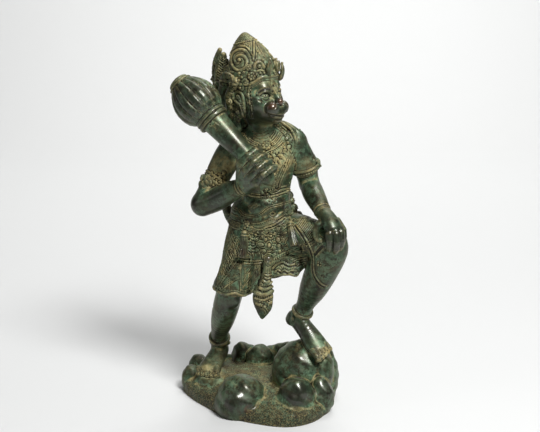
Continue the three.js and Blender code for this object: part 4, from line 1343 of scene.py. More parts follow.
def armlet():
    """Two hoops with beads between them, and a crest of leaves and scrolls."""
    for s in (0.0, 5.2):
        ridge(round_limb(ARMLET + s * ARMLET_WAY, ARMLET_WAY, 20), 1.1, 1.6)
    studs(spaced(round_limb(ARMLET + 2.6 * ARMLET_WAY, ARMLET_WAY, 20), 3.3), 1.3)
    body.add([oval((-63.0, -6, 242), (3.4, 5, 6.4), (1, 0, 0.2), (-0.3, 0, 1)),
              oval((-62.6, -8, 251), (2.4, 3.4, 3.6))], 1.0)
    body.add([oval(CREST, (5.2, 3.4, 6.6), (1, -0.2, 0.3), (-0.25, 0.1, 1)),
              oval(CREST + (-3.8, 0.4, -4.4), (3.2, 2.6, 4.6), (1, -0.2, 0), (-0.7, 0, 1)),
              oval(CREST + (4.2, 0, -3.6), (3.2, 2.4, 4.4), (1, -0.2, 0), (0.8, 0, 1))], 0.6)
    curls(ARMLET_CURLS, 1.2, 0.8)
    for x, y in ARMLET_LEAVES:
        leaf(seen_one(x, y), (0.1, 0, -1), 4.6, 2.8, 0.8)


def arm_jewels():
    cuff()
    for s in (0.0, 2.6):
        ridge(round_limb(LEFT_WRIST + s * unit(LEFT_WRIST_WAY), LEFT_WRIST_WAY, 16), 1.25, 1.5, 0.5)
    armlet()
    for s in (-1.3, 1.3):
        ridge(round_limb(RIGHT_WRIST + s * RIGHT_WRIST_WAY, RIGHT_WRIST_WAY, 17), 1.05, 1.4, 0.5)


def anklets():
    for c, axis in (((-48.2, 36, 58.6), (-1.5, 10, -18)), ((43.2, -1.2, 102.2), (-5.5, 5.5, -16))):
        points = round_limb(c, axis, 22)
        body.add(chain(points + facing(points) * 0.9, 1.9), 0.4)
        groove(beside(points, 1.9), 0.5, 0.3)


# Places along the axis of the mace: the shaft swells to a collar, then come the bulb and its caps.
SHAFT_FOOT, SHAFT_FROM, COLLAR_FROM, BULB_FROM, BULB_TO = -12, 4, 66, 74, 120
MACE_ACROSS = unit(np.cross(MACE, UP))
MACE_AXES = (MACE_ACROSS, np.cross(MACE, MACE_ACROSS), MACE)
BULB_STATIONS = (0, 0.06, 0.16, 0.3, 0.45, 0.6, 0.75, 0.88, 1)
BULB_RADII = (15.2, 18.8, 22.2, 24.2, 24.5, 23.4, 20.4, 16.6, 12)
CHANNELS = (1.5, 70.2, 0.75), (1.0, 74.8, 0.7)  # depth, place on the axis and width
GADROONS = 14
NICKS = (
    ((211.6, 121), (209, 127.4)), ((212.4, 123.6), (216.8, 130.6)), ((214.6, 121.4), (219.4, 124.6)),
    ((210, 124.6), (213.4, 126)), ((213, 120), (214.8, 126)),
)


def around_mace(along, angle, r):
    """A point round the shaft: 0 degrees faces the camera and 90 the figure's head."""
    front = np.array([0, -1.0, 0.12])
    front = unit(front - np.dot(front, MACE) * MACE)
    head_side = np.cross(MACE, front)
    if head_side[2] < 0:
        head_side = -head_side
    t = math.radians(angle)
    return on_mace(along) + r * (math.cos(t) * front + math.sin(t) * head_side)


def lathed(low, high, radius_at):
    """A part of the mace between two places on its axis, with a radius by place and angle."""
    centre = on_mace((low + high) / 2)
    reach = np.full(3, (high - low) / 2 + 27)

    def distance(x, y, z):
        u, v, s = local(MACE_AXES, GRIP, x, y, z)
        r = np.sqrt(u * u + v * v)
        return np.maximum((r - radius_at(s, np.arctan2(v, u))) * 0.85, np.maximum(low - s, s - high))

    return centre - reach, centre + reach, distance


def collar_radius(s, angle):
    """A wide band with two fine channels."""
    radius = 16.9 + 0.5 * np.sin((s - COLLAR_FROM) * 0.33)
    for deep, at, wide in CHANNELS:
        radius = radius - deep * np.exp(-((s - at) / wide) ** 2)
    return radius


def bulb_radius(s, angle):
    """A swelling outline with hollows round it and a fine rib between each two."""
    t = np.clip((s - BULB_FROM) / 45.4, 0, 1)
    lobe = 1 - np.abs(np.cos(angle * GADROONS / 2))
    edge = np.maximum(np.sin(math.pi * np.clip(t * 0.94 + 0.04, 0, 1)), 0) ** 0.5
    rib = 0.9 * np.exp(-((1 - lobe) * 48 / GADROONS / 0.5) ** 2)
    return np.interp(t, BULB_STATIONS, BULB_RADII) - (2.6 * lobe ** 1.7 - rib) * edge


def disc(along, r, high):
    return [oval(on_mace(along), (r, r, high), MACE_ACROSS, MACE)]


def mace():
    body.add(chain([on_mace(s) for s in (SHAFT_FOOT, SHAFT_FROM, COLLAR_FROM)], (8.4, 8.6, 13.7)), 0.5)
    body.add([cone(on_mace(-13), on_mace(-17), 7.4, 5.8)] + disc(-17.5, 5.2, 3), 0.8)
    body.add([lathed(COLLAR_FROM, 75.4, collar_radius)], 0.5)
    body.add([lathed(BULB_FROM, BULB_TO, bulb_radius)], 0.4)
    body.add(disc(119.0, 13.6, 3.0), 0.5)
    dent(disc(121.6, 11.4, 4.4), 0.6, 0.5, 0.6, 2)
    body.add(disc(121.6, 11.4, 4.4), 0.3)
    dent(disc(124, 4.6, 3.4), 0.5, 0.4, 0.5, 2)
    body.add(disc(124.4, 4.4, 2.6), 0.3)
    for a, b in NICKS:
        groove(seen(np.linspace(a, b, 9)), 0.6, 0.6)


FIST_TURNS = (-34, 15.4, 5.0), (8, 15.2, 4.7), (44, 14.8, 4.5), (90, 13.6, 4.2), (140, 12.8, 3.8)
WRIST = np.array([-17.5, -36.8, 250.5])
THUMB_TURNS = (16, 235, 14), (17.5, 200, 13.4), (16, 165, 12.8)  # along, angle and distance


def right_hand():
    """A fist round the shaft: four short fingers over its front, below them the back of the hand."""
    knuckles = []
    for i in range(4):
        along, size = 12.5 - 7.9 * i, 1 - 0.05 * i
        # each finger goes round by angle, distance and radius
        path = [around_mace(along, a - 3 * i, d) for a, d, _ in FIST_TURNS]
        body.add(chain(path, [r * size for _, _, r in FIST_TURNS]), 0.5)
        knuckles.append(path[0])
        crease = path[1] + unit(path[1] - path[0]) * 1.5
        dent([cone(crease - MACE * 3, crease + MACE * 3, 4.2)], 0.25, 0, 0.5, 2)
        if i:
            dent(chain([(p + q) / 2 for p, q in zip(path, last)], 10 * HAIRLINE), 0.5, 3.4, 1.3, 6)
        last = path
    middle = sum(knuckles) / 4
    body.add([cone(k, WRIST + (k - middle) * 0.3, 5.0, 7.2) for k in knuckles], 2.4)
    palm = middle * 0.55 + WRIST * 0.45 + (0, -1.0, 0)
    body.add([oval(palm, (12, 7, 12), unit(middle - WRIST), unit(knuckles[0] - knuckles[-1]))], 3)
    thumb = [WRIST + (-1, 1, 8)] + [around_mace(*row) for row in THUMB_TURNS]
    bones = [cone(p, q, 5 - 0.5 * k, 4.6 - 0.5 * k) for k, (p, q) in enumerate(zip(thumb[:-1], thumb[1:]))]
    body.add(bones, 1.5)


LEFT_HAND = (
    (63.4, -31, 219.5, 8.2, 7.8), (66.4, -38.5, 217.5, 8.9, 7.8), (70.4, -46, 213, 9.5, 7.6),
    (73.2, -51, 208, 9.3, 6.6),
)
LEFT_FINGERS = (  # where the knuckle lies, how far the finger hangs and its radius
    (68.8, -56.0, 203.6, 16.4, 3.8), (75.4, -56.4, 203.4, 18.8, 4.0), (80.6, -52.4, 204.4, 17, 3.5),
    (83.6, -46.6, 205.6, 14, 3.0),
)
THUMB = (325.6, 221.5), (320.4, 223.4), (316.8, 227.6), (316, 233.4), (317.6, 238.2), (321, 240.2)
THUMB_DEPTHS = (-41, -44, -46, -47, -48, -48.5)
FINGERS_MEET = 71.5  # the fingers' roots draw in towards this x


def left_hand():
    """The hand that rests on the raised knee, its fingers hanging and its thumb hooked aside."""
    body.add(limb(LEFT_HAND, turned(24)), 1.5)
    last = None
    for x, y, z, hang, r in LEFT_FINGERS:
        knuckle = np.array([x, y, z])
        joint, end = knuckle + (0.6, -2.2, -0.46 * hang), knuckle + (0.2, -1.0, -0.84 * hang)
        root = np.array([0.5 * x + 0.5 * FINGERS_MEET, y + 8, z + 7.5])
        finger = [root, knuckle, joint, end, knuckle + (-0.2, 1.2, -hang)]
        body.add(chain(finger, [r * share for share in (1.3, 1.12, 1.04, 0.92, 0.72)]), 0.8)
        crease = chain((joint + (-r, -r * 0.8, 0), joint + (r, -r * 0.8, 0)), 10 * HAIRLINE)
        dent(crease, 0.5, 0, 0.8, 3)
        dent([oval(end + (0, -r * 0.95, -1.0), (r * 0.5, 0.6, r * 0.62))], 0.35, 0, 0.4, 2)
        if last is not None:
            seam = [(p + q) / 2 + (0, -1.6, 0) for p, q in zip(finger[1:], last[1:])]
            dent(chain(seam, 10 * HAIRLINE), 1.0, 0, 1.1, 4)
        last = finger
    thumb = at_depth(THUMB, -46)
    thumb[:, 1] = THUMB_DEPTHS
    body.add(rope(thumb, (4.4, 2.7), 3), 1.0)


necklace()
breast()
arms()
arm_jewels()
anklets()
mace()
right_hand()
left_hand()


TAIL = (
    (-4, 22, 188), (-22, 30, 186), (-35, 33, 199), (-41, 34, 222), (-42, 35, 256), (-42, 36, 290),
    (-46, 38, 322), (-50, 38, 350), (-49.2, 36, 368), (-44.4, 33.5, 380.4),
)


def tail():
    """The tail leaves the back under the belt, climbs behind the shoulder and ends behind the crown."""
    body.add(rope(TAIL, (6.5, 2.6), 6), 2)
    body.add([cone((-48, 38, 334), (-30, 28, 338), 4.4)], 3)
    corners = np.arange(0, 60, 6)
    for t in 6 + 46 * np.arange(26) / 26:
        p, q = (np.array([np.interp(at, corners, axis) for axis in zip(*TAIL)]) for at in (t, t + 1))
        groove(round_limb(p, q - p, 14, 15), 0.6, 0.35)


PLUME = (-42, 29, 332, 7, 5), (-42.5, 28, 350, 8, 5.5), (-42, 27, 366, 7, 4.5), (-40.5, 25, 376.5, 3.5, 3)
PLUME_X, PLUME_LEAN = -42.3, 1.6  # the plume's middle at its foot, and how far that moves over its height


def plume():
    """A feather that stands behind the crown, with a rim and barbs."""
    body.add(limb(PLUME, CHEST), 1)
    body.add([cone((-18, 12, 356), (-40, 26, 358), 8, 6)], 3)
    for side in SIDES:
        rail = [(PLUME_X + PLUME_LEAN * t, 26.4 - 1.5 * t, 334 + 41 * t) + CHEST * side * (6.9 - 4.2 * t ** 3)
                for t in np.linspace(0, 1, 12)]
        body.add(rope(rail, 1.2, 2), 0.6)
    for t in np.arange(13) / 12:
        reach = 6.2 - 3.2 * t ** 2
        for face, way in ((-20, 1), (60, -1)):
            for side in SIDES:
                start = np.array([PLUME_X + PLUME_LEAN * t, face, 337 + 33 * t])
                barb = [start + (CHEST * side + 0.7 * UP) * s * reach for s in (0.12, 0.42, 0.7, 0.95)]
                ridge(body.march(barb, (0, way, 0), 60, 0.4), 0.6)


HAIR = (-19, 13, 352, 24.5, 14), (-20, 15, 335, 25.5, 14), (-13, 17, 316, 24, 11), (-2, 18, 292, 20, 9)
# Places on the head by how far they lie forward, to the side and up, and a radius.
LOCK_ROLL = (-9, 19.5, 15, 5.8), (-14, 22, 2, 6.2), (-14, 19, -15, 6.6), (-12, 16, -31, 6.6)
EAR = (-8, 19, 8, 3.8), (-3, 26.5, 18, 3.6), (-6, 31, 25.5, 1.6), (-10, 33.5, 27, 0.9)
LOCKS = (-19, 24, 346), (-20, 25, 332), (-13, 24, 314), (-2, 20, 296)  # middle, spread and height


def hair():
    """Hair down the nape, rolls of locks behind the ears, and the ears."""
    body.add(limb(HAIR, CHEST), 3)
    for s in SIDES:
        body.add([oval(on_head(-1, s * 22.5, -7), (4.6, 7, 13), LEFT)], 0.8)
        for rows, soft in ((LOCK_ROLL, 2), (EAR, 1)):
            places = [on_head(forward, s * left, up) for forward, left, up, _ in rows]
            body.add(chain(places, [r for *_, r in rows]), soft)


def nape_locks():
    """Long locks down the nape, under three rows of curls at the back of the head."""
    for k in range(11):
        t = (k - 5) / 5
        way = unit((0.18 + t * 0.8, 1, 0))
        rows = [(middle + spread * t, 20, z) for middle, spread, z in LOCKS]
        lock = body.march(through(rows, 6) + way * 34, -way, 60, 0.4)
        groove(lock, 1.0, 1.2)
        ridge(beside(lock, 2.4), 1.3, 0.8, 0)
    for row in range(3):
        for k in range(7):
            way = from_gaze(math.radians(122 + 19 * k + 9 * (row % 2)))
            found = body.march(on_head(-10, 0, 13 - 8 * row) + way * 50, -way, 50, 0.4)
            curl(found, 3.4, 1.3, 1.1 * k + row, 1 if (k + row) % 2 else -1, 1.0)


CROWN = (  # up and forward on the head, then half the width and depth
    (12, -2, 23, 25), (15.5, -2.2, 24.4, 26.2), (19, -2.4, 24.6, 26.4), (25, -3.2, 24.6, 26.4),
    (32, -5.2, 22.2, 23.8), (40, -8.6, 18.6, 20), (48, -11, 14, 15.4), (55, -12.6, 9.2, 10.2),
    (60.5, -13.4, 5.1, 5.8), (63.2, -13.8, 2.3, 2.7),
)


def crown():
    body.add(limb([(*on_head(forward, 0, up), wide, deep) for up, forward, wide, deep in CROWN], LEFT), 1)


def both(points):
    """Points, and their mirror images on the head's other half unless they lie near its middle."""
    points = np.atleast_2d(points)
    if abs(((points - HEAD) @ LEFT).mean()) < 6:
        return [points]
    other = mirrored(points)
    return [points, settled(other, facing(other, 2), 4)]


def around_head(angles, ups, centre=-3.0, out=46.0):
    """Points met from outside at angles from the gaze (to the figure's left above 0) and at heights."""
    t = np.radians(np.atleast_1d(np.asarray(angles, float)))
    ways = np.outer(np.cos(t), GAZE) + np.outer(np.sin(t), LEFT)
    starts = HEAD + centre * GAZE + np.outer(np.broadcast_to(ups, t.shape), UP) + ways * out
    return body.march(starts, -ways, out, 0.4)


def soft_ridge(points, r, rise):
    ridge(points, r, rise, 0)


def on_both(pixel, shape, *sizes):
    """A shape at a pixel and at its mirror image."""
    for side in both(seen(pixel)):
        shape(side[0], *sizes)


def knobs(pixels, r, proud=0.7):
    for side in both(seen(pixels)):
        studs(side, r, proud)


def lines_on(rows):
    """Lines on both halves of the head: how each is made, its radius, its height or depth, then pixels."""
    for shape, r, much, *pixels in rows:
        for side in both(line(pixels)):
            shape(side, r, much)


VOLUTE = (
    (ridge, 1.15, 1.5, (239.6, 60.2), (237.6, 62.9), (235.4, 62.4), (234.8, 59.6), (236.4, 56.6), (240, 55),
     (244, 56.4), (246.4, 60), (246.2, 64.6), (243.6, 68.6), (239, 70.4), (234.6, 68.6), (231.8, 64.2),
     (231.2, 58.6), (233, 53.2), (237, 49.9), (242, 49.4), (246.6, 51.8), (249.6, 56.6)),
)
VOLUTE_KNOB = (239.4, 60)
# The leaf edge round the volute, the pointed panels over it, then the edges of the cap.
# None stands for the usual rise.
CROWN_LINES = (
    (ridge, 0.85, 1.0, (229.6, 70), (228.4, 62), (229.4, 54.6), (233, 49), (238.6, 46.2), (244.4, 46.2),
     (249, 49.2), (252, 54.4), (253.2, 59.4)),
    (ridge, 0.8, 1.1, (233.6, 44.6), (238.6, 43), (244, 41.4), (249.4, 40), (254, 39.2)),
    (ridge, 0.5, None, (234.4, 46.2), (239, 44.8), (244, 43.4), (249.6, 42)),
    (ridge, 0.8, 1.1, (254.2, 40.4), (254, 47), (253.8, 53), (253.4, 60)),
    (ridge, 0.5, None, (251.8, 42.2), (251.6, 48), (251.4, 55)),
    (ridge, 0.55, None, (243.6, 43.8), (247.4, 48.4), (251, 54)),
    (ridge, 0.6, None, (256.4, 42.6), (260.2, 49), (264.4, 56.6)),
    (ridge, 0.5, None, (256, 44), (256.4, 51), (256.4, 59)),
)
CROWN_KNOBS, CROWN_KNOB, CROWN_LEAF = ((248.9, 45.4), (245.9, 44.2)), (257.4, 51.8), (260.8, 55)


def crown_lines():
    """The great volute of each side, the panels over it, and the cap's scales."""
    lines_on(VOLUTE)
    for k in range(2):
        studs(both(seen(VOLUTE_KNOB))[k], 1.8)
    lines_on(CROWN_LINES)
    knobs(CROWN_KNOBS, 0.75)
    knobs(CROWN_KNOB, 1.3)
    on_both(CROWN_LEAF, leaf, (0.4, 0, -1), 6.5, 3.6, 0.6)
    for row in range(5):
        y = 42 - 1.75 * row
        for x in np.arange(236.5 + 1.7 * row, 252.5 - 0.9 * row, 2.3) + 1.1 * (row % 2):
            for side in both(seen([(x - 1, y - 0.2), (x, y + 0.7), (x + 1, y - 0.2)])):
                ridge(side, 0.42, 0.6, 0.35)


def back_petals():
    """Petals at the back of the crown, each with a bead."""
    heights = np.linspace(0, 1, 9)
    for t in np.radians(140 + 20 * np.arange(5)):
        for sweep in SIDES:
            ways = np.array([from_gaze(t + sweep * 0.17 * (1 - h ** 2)) for h in heights])
            starts = on_head(-4, 0, 0) + np.outer(26 + 18 * heights, UP) + ways * 40
            ridge(body.march(starts, -ways, 40), 0.8)
        way = from_gaze(t)
        studs(body.march(on_head(-4, 0, 31) + way * 40, -way, 40), 1.6)


def standing_leaf(angle, base, top, lean, width):
    """A leaf that stands up from the crown's foot, with a rib and a rolled tip."""
    t = math.radians(angle)
    way = from_gaze(t)
    side = LEFT * math.cos(t) - GAZE * math.sin(t)
    root = around_head(angle, base)[0]
    rows = []
    for h in np.linspace(0, 1, 6):
        p = root + UP * (top - base) * h + way * (lean * math.sin(math.pi * (0.15 + 0.55 * h)) - 0.8)
        rows.append((*p, width * (0.76 + h - 1.58 * h ** 3), 2.4 - 1.2 * h))
    body.add(limb(rows, side), 1.4)
    tip = np.array(rows[-1][:3])
    body.add([oval(tip + way * 0.8, (1.2, 1.5, 1.2), way, UP)], 0.9)
    body.add(rope([np.array(row[:3]) + way * (row[4] + 0.1) for row in rows[:-1]], (0.9, 0.5)), 0.5)


ARCH = ((ridge, 1.15, 1.7, (254.6, 67.4), (255.4, 63.8), (258.6, 61.7), (262, 63), (264.2, 67)),)
ARCH_BOSS = (259.3, 66.4)
ARCH_FOOT = ((ridge, 0.8, 1.1, (257.6, 70.9), (260.6, 70.2), (263.6, 70.8)),)
GREAT_KNOBS = ((262.8, 60.6), 1.8), ((267.2, 69.6), 2.5)
GREAT_ROSETTES = ((248.4, 67.4), 3.6), ((251.6, 76.2), 4.4)
FOOT_KNOBS = (((256.4, 74.4), (260.2, 73), (264, 73)), 1.5), (((243.8, 72.6), (239.6, 73)), 1.6)
FRONT_ROSETTES = (-8, 29.5, 2.2), (12, 27.5, 3.6), (32, 28.5, 2.2)  # angle, height and radius
STANDING_LEAVES = (  # angle, foot, tip, lean and width
    (12, 31, 38, 1.5, 3.6), (-12, 27, 41, 3.8, 3.2), (38, 19, 35, 5.0, 4.2), (62, 28, 38, 2.0, 3.2),
)
TEMPLE_CURLS = (  # pixel, radius, start and sense
    ((238.3, 80.8), 3.6, 1.0, 1), ((245.2, 83), 3.4, 2.6, -1), ((240.4, 87.4), 3.2, 0.4, -1),
    ((233.8, 88.4), 3.2, 2.0, 1),
)


def diadem():
    """Leaves, rosettes and knobs that stand round the crown's foot, and the double cord under them."""
    turns = np.linspace(-180, 180, 121)
    dip = smooth((np.abs(turns) - 22) / 42)
    ridge(around_head(turns, 23.4 - 8.0 * dip), 1.25, 1.5, 0.4)
    ridge(around_head(turns, 20.9 - 8.2 * dip), 0.75, 0.9, 0.3)
    ridge(around_head(turns[np.abs(turns) > 92], 27), 1.0)
    for angle in range(98, 268, 17):
        rosette(around_head(angle, 21.4)[0], 2.9, 6)
    lines_on(ARCH)
    knobs(ARCH_BOSS, 2.1)
    lines_on(ARCH_FOOT)
    for pixel, r in GREAT_KNOBS:
        knobs(pixel, r, 0.75)
    for pixel, r in GREAT_ROSETTES:
        on_both(pixel, rosette, r, 7)
    for pixels, r in FOOT_KNOBS:
        knobs(pixels, r, 0.65)
    for angle, up, r in FRONT_ROSETTES:
        rosette(around_head(angle, up)[0], r, 6)
    for row in STANDING_LEAVES:
        standing_leaf(*row)
    for pixel, r, start, sense in TEMPLE_CURLS:
        on_both(pixel, curl, r, 1.3, start, sense, 1.05)


EYE_LINES = (  # the brow over its fold, then the lids
    (soft_ridge, 1.2, 0.5, (257.4, 91.4), (261.4, 88.7), (266, 87.3), (270.4, 87.6), (273, 89.8)),
    (groove, 1.0, 1.2, (258.2, 93), (262, 90.7), (266, 89.5), (270, 89.8), (272.4, 91.4)),
    (soft_ridge, 0.9, 0.6, (259.8, 95), (262.4, 92.5), (265.6, 91.6), (268.8, 92.4), (270.6, 94.8)),
    (groove, 0.45, 0.9, (260.4, 95.4), (263, 93.9), (266, 93.4), (268.8, 94.2), (270.2, 95.6)),
    (groove, 0.5, 0.8, (260.6, 96), (263.5, 97.2), (266.5, 97.6), (269.6, 96.4)),
    (soft_ridge, 0.9, 0.45, (260.4, 97), (263.5, 98.8), (266.8, 99.2), (270, 97.6)),
)
PUPIL = (265.9, 95.4)
FROWN = (-19, 0.8), (-9, 0.7), (9, 0.7), (19, 0.8)  # angle and radius
CHEEK_FOLD = ((groove, 0.7, 0.5, (258.6, 100.4), (261.6, 101.6), (264.4, 103.2)),)
MOUTH_END = 44  # degrees from the gaze


def face_lines():
    """The brow's edge over a deep fold, the lids, the frown, the nostrils and the mouth."""
    lines_on(EYE_LINES)
    for side in both(seen(PUPIL)):
        pits(side, 1.0, 0.5)
    for angle, r in FROWN:
        ups = np.linspace(15.5, 6, 7)
        ridge(around_head(angle + (15.5 - ups) * np.sign(angle) * -0.5, ups, 8), r, 0.5, 0.15)
    lines_on(CHEEK_FOLD)
    # the mouth runs round the muzzle between two soft lips
    turns = np.linspace(-MOUTH_END, MOUTH_END, 31)
    ups = -15.8 + 2.6 * (np.abs(turns) / MOUTH_END) ** 2
    groove(around_head(turns, ups, 14), 0.75, 1.3)
    soft_ridge(around_head(turns, ups + 1.9, 14), 1.2, 0.6)
    soft_ridge(around_head(turns[4:-4], ups[4:-4] - 2.0, 14), 1.3, 0.7)
    for s in SIDES:
        pits(around_head(s * 8.5, -4.2, 14), 1.1, 0.6)
        groove(around_head(np.linspace(14, 27, 8) * s, np.linspace(-1.5, -7, 8), 14), 0.8, 1.0)


EAR_LOOP = (
    (ridge, 1.1, 1.5, (233.2, 96), (235.2, 92.6), (238.8, 91.8), (241.8, 94.8), (243.6, 101), (244.6, 108),
     (245, 114.5), (243.4, 118), (241.6, 112.5), (239.6, 106), (236, 102), (233.6, 99.4), (233.2, 96)),
)
EAR_BOSS = (237.2, 97.2)
EAR_STRINGS = (
    ((238.7, 103.6), (240.4, 107.6), (242.1, 112.6)), ((240.5, 102.6), (242.2, 106.4), (243.5, 111)),
)
HAIR_CURLS = (  # pixel, radius, start and sense
    ((230.6, 93.6), 3.0, 1.5, -1), ((229.4, 101.4), 3.2, 3.0, 1), ((232.6, 108.6), 2.8, 0.5, -1),
    ((237.2, 112), 2.4, 2.2, 1), ((233.2, 115.4), 2.4, 4.2, -1), ((239, 119.2), 2.6, 1.6, 1),
    ((247.6, 96), 1.8, 1.0, 1), ((248.6, 103), 1.8, 3.0, -1),
)
JAW_CORD = (
    (ridge, 0.9, 0.9, (250, 85), (248.6, 91), (248.6, 97), (250, 103.6), (251.4, 110), (251.4, 117)),
)


def ear_side():
    """The loop of the ear with its boss, its hanging strings of beads and the scrolls of hair behind it."""
    lines_on(EAR_LOOP)
    on_both(EAR_BOSS, rosette, 2.5, 6)
    for pixels in EAR_STRINGS:
        for side in both(line(pixels)):
            studs(spaced(side, 1.9), 0.75)
    for pixel, r, start, sense in HAIR_CURLS:
        on_both(pixel, curl, r, 1.2, start, sense, 0.95)
    lines_on(JAW_CORD)
    for y in range(90, 115, 4):
        knobs((250.6 + 0.06 * (y - 90), y), 0.9)


tail()
plume()
hair()
nape_locks()
crown()
crown_lines()
back_petals()
diadem()
face_lines()
ear_side()
body.cut([block((0, 0, -10), (130, 130, 10), soft=0.1)])


def skin_of(field):
    """The field's surface as points in millimetres and four-cornered faces."""
    grid = openvdb.FloatGrid(FAR / STEP)
    grid.copyFromArray(np.clip(field.d, -FAR, FAR) / STEP, tolerance=0.0)
    points, _, quads = grid.convertToPolygons(isovalue=0.0, adaptivity=0.0)
    return points.astype(np.float32) * STEP + LOW.astype(np.float32), quads


def mesh_of(name, points, faces):
    mesh = bpy.data.meshes.new(name)
    mesh.vertices.add(len(points))
    mesh.vertices.foreach_set("co", (points / 1000).astype(np.float32).reshape(-1))
    mesh.loops.add(faces.size)
    mesh.loops.foreach_set("vertex_index", faces.astype(np.int32).reshape(-1))
    mesh.polygons.add(len(faces))
    mesh.polygons.foreach_set("loop_start", np.arange(len(faces), dtype=np.int32) * faces.shape[1])
    mesh.update(calc_edges=True)
    return mesh


def blurred(volume, radius):
    """A box blur three times over, which is close to a round one."""
    width = 2 * radius + 1
    for axis in (0, 1, 2) * 3:
        pad = [(radius + 1, radius) if k == axis else (0, 0) for k in range(3)]
        sums = np.cumsum(np.pad(volume, pad, mode="edge"), axis=axis, dtype=np.float32)
        high = np.take(sums, range(width, sums.shape[axis]), axis=axis)
        low = np.take(sums, range(0, sums.shape[axis] - width), axis=axis)
        volume = (high - low) / width
    return volume


def crowding(points, radii):
    """How much of each point's surroundings is metal, less a half, at each of the radii in millimetres."""
    scale = 4 if STEP < 0.7 else 2
    n = (np.array(body.shape) // scale) * scale
    k = n // scale
    solid = np.clip(0.5 - body.d[:n[0], :n[1], :n[2]] / STEP, 0, 1)
    solid = solid.reshape(k[0], scale, k[1], scale, k[2], scale).mean((1, 3, 5))
    q = (points - LOW - STEP * (scale - 1) / 2) / (scale * STEP)
    return [gathered(blurred(solid, max(1, round(r / (scale * STEP * 1.9)))), q) - 0.5 for r in radii]


def hollowness(points, normals, radius):
    """How far each point lies below the casting round it (above 0) or stands proud of it, in millimetres."""
    a = np.where(np.abs(normals[:, :1]) < 0.8, np.array([[1.0, 0, 0]]), np.array([[0, 1.0, 0]]))
    u = np.cross(normals, a)
    u /= np.maximum(np.linalg.norm(u, axis=1)[:, None], 1e-6)
    v = np.cross(normals, u)
    total = 0
    for k in range(8):
        t = math.pi * k / 4
        total = total - body.sample(points + radius * (math.cos(t) * u + math.sin(t) * v))
    return total / 8


PIECES = (  # name, from and up to what height, and its share of the most triangles
    ("casting_mound", -10, 47, 0.8), ("casting_legs", 47, 127, 0.5), ("casting_dress", 127, 211, 1.0),
    ("casting_chest_and_arms", 211, 303, 1.0), ("casting_head_and_mace", 303, 500, 1.0),
)


def full_piece(name, points, faces, used, shared, most):
    """A piece with all its faces, and a modifier that thins them but leaves the border it shares."""
    index = np.zeros(len(points), np.int32)
    index[used] = np.arange(len(used))
    piece = bpy.data.objects.new(name, mesh_of(name + "_full", points[used], index[faces]))
    bpy.context.scene.collection.objects.link(piece)
    if 2 * len(faces) > most:
        free = piece.vertex_groups.new(name="free")
        free.add(np.flatnonzero(~shared[used]).tolist(), 1.0, "REPLACE")
        fewer = piece.modifiers.new("fewer", "DECIMATE")
        fewer.ratio = most / (2 * len(faces))
        fewer.use_collapse_triangulate = True
        fewer.vertex_group = "free"
        fewer.vertex_group_factor = 100
    return piece


def castings():
    """The one casting as five meshes that meet edge to edge, since one can't hold all its relief."""
    points, quads = skin_of(body)
    middle = points[quads[:, 0], 2]
    owners = np.full(len(points), -1, np.int8)
    shared = np.zeros(len(points), bool)
    chosen = []
    for k, (_, low, high, _) in enumerate(PIECES):
        faces = quads[(middle >= low) & (middle < high)]
        used = np.unique(faces)
        shared[used[owners[used] >= 0]] = True
        owners[used] = k
        chosen.append((faces, used))
    pieces = [full_piece(name, points, faces, used, shared, FACES * share)
              for (name, _, _, share), (faces, used) in zip(PIECES, chosen)]
    whole = bpy.context.evaluated_depsgraph_get()
    for piece in pieces:
        full = piece.data
        thinned = bpy.data.meshes.new_from_object(piece.evaluated_get(whole))
        piece.modifiers.clear()
        piece.vertex_groups.clear()
        piece.data = thinned
        bpy.data.meshes.remove(full)
        thinned.name = piece.name
        finish(thinned)
    return pieces


# Where hands and cloths have rubbed the bronze, and where dust has settled: a place, its reach and how much.
RUBBED = (
    (on_head(30, -9, -7), 7.5, 1.0), (on_head(30, 9, -7), 7, 0.95), (on_head(34, 0, -1.5), 4.5, 1.0),
    (on_head(22, -9, 9.5), 6.5, 0.8), (on_head(14, -14, -14), 12, 0.6), ((-24, -56, 24), 13, 0.8),
    ((-14, -60, 14), 7, 0.93), ((37, -60, 30), 12, 0.8), ((66, -42, 28), 10, 0.75),
    ((40, -34, 52), 10, 0.6),
    ((48, -14, 86), 11, 0.75), ((76, -56, 198), 12, 0.8), ((-6, -56, 266), 12, 0.6),
    ((-68, -30, 332), 21, 0.55), ((-30, -30, 296), 12, 0.6), ((22, -36, 207), 5, 0.95),
    ((-72, -14, 228), 12, 0.5), ((-44, -28, 232), 12, 0.5), ((-36, -20, 116), 14, 0.4),
    ((56, 0, 236), 12, 0.3), ((32, -35, 195), 6, 0.8), ((33, -37, 188), 5, 0.9), ((-19, -31, 186), 7, 0.8),
    ((-19, -32, 177), 6, 0.9), ((16.6, -35, 191), 3.6, 1.0), ((7.7, -37, 185.5), 3.4, 1.0),
    ((-1.2, -36, 185.5), 4.6, 1.0), ((7.2, -38, 172.5), 4.4, 1.0),
)
DUSTED = (
    ((12, -20, 272), 20, 0.9), ((-40, -14, 262), 14, 0.95), ((-30, 15, 26), 26, 0.3),
    ((-62, 4, 32), 8, 0.9),
    ((8, -2, 26), 22, 0.25), ((68, -32, 66), 6, 0.6), ((6, -22, 300), 10, 0.6), ((-8, -6, 384), 26, 0.3),
    (on_head(24, -6, 14), 9, 0.25), ((46, -4, 264), 8, 0.3),
)
STONES_TOP, GROUND_TOP = 60, 29  # above these heights nothing is ground, and less and less is


def marked(points, places):
    """How strongly each point lies in any of the places."""
    most = np.zeros(len(points))
    for place, reach, much in places:
        away = np.linalg.norm(points - np.asarray(place), axis=1) / reach
        most = np.maximum(most, much * smooth(1.6 - away))
    return most


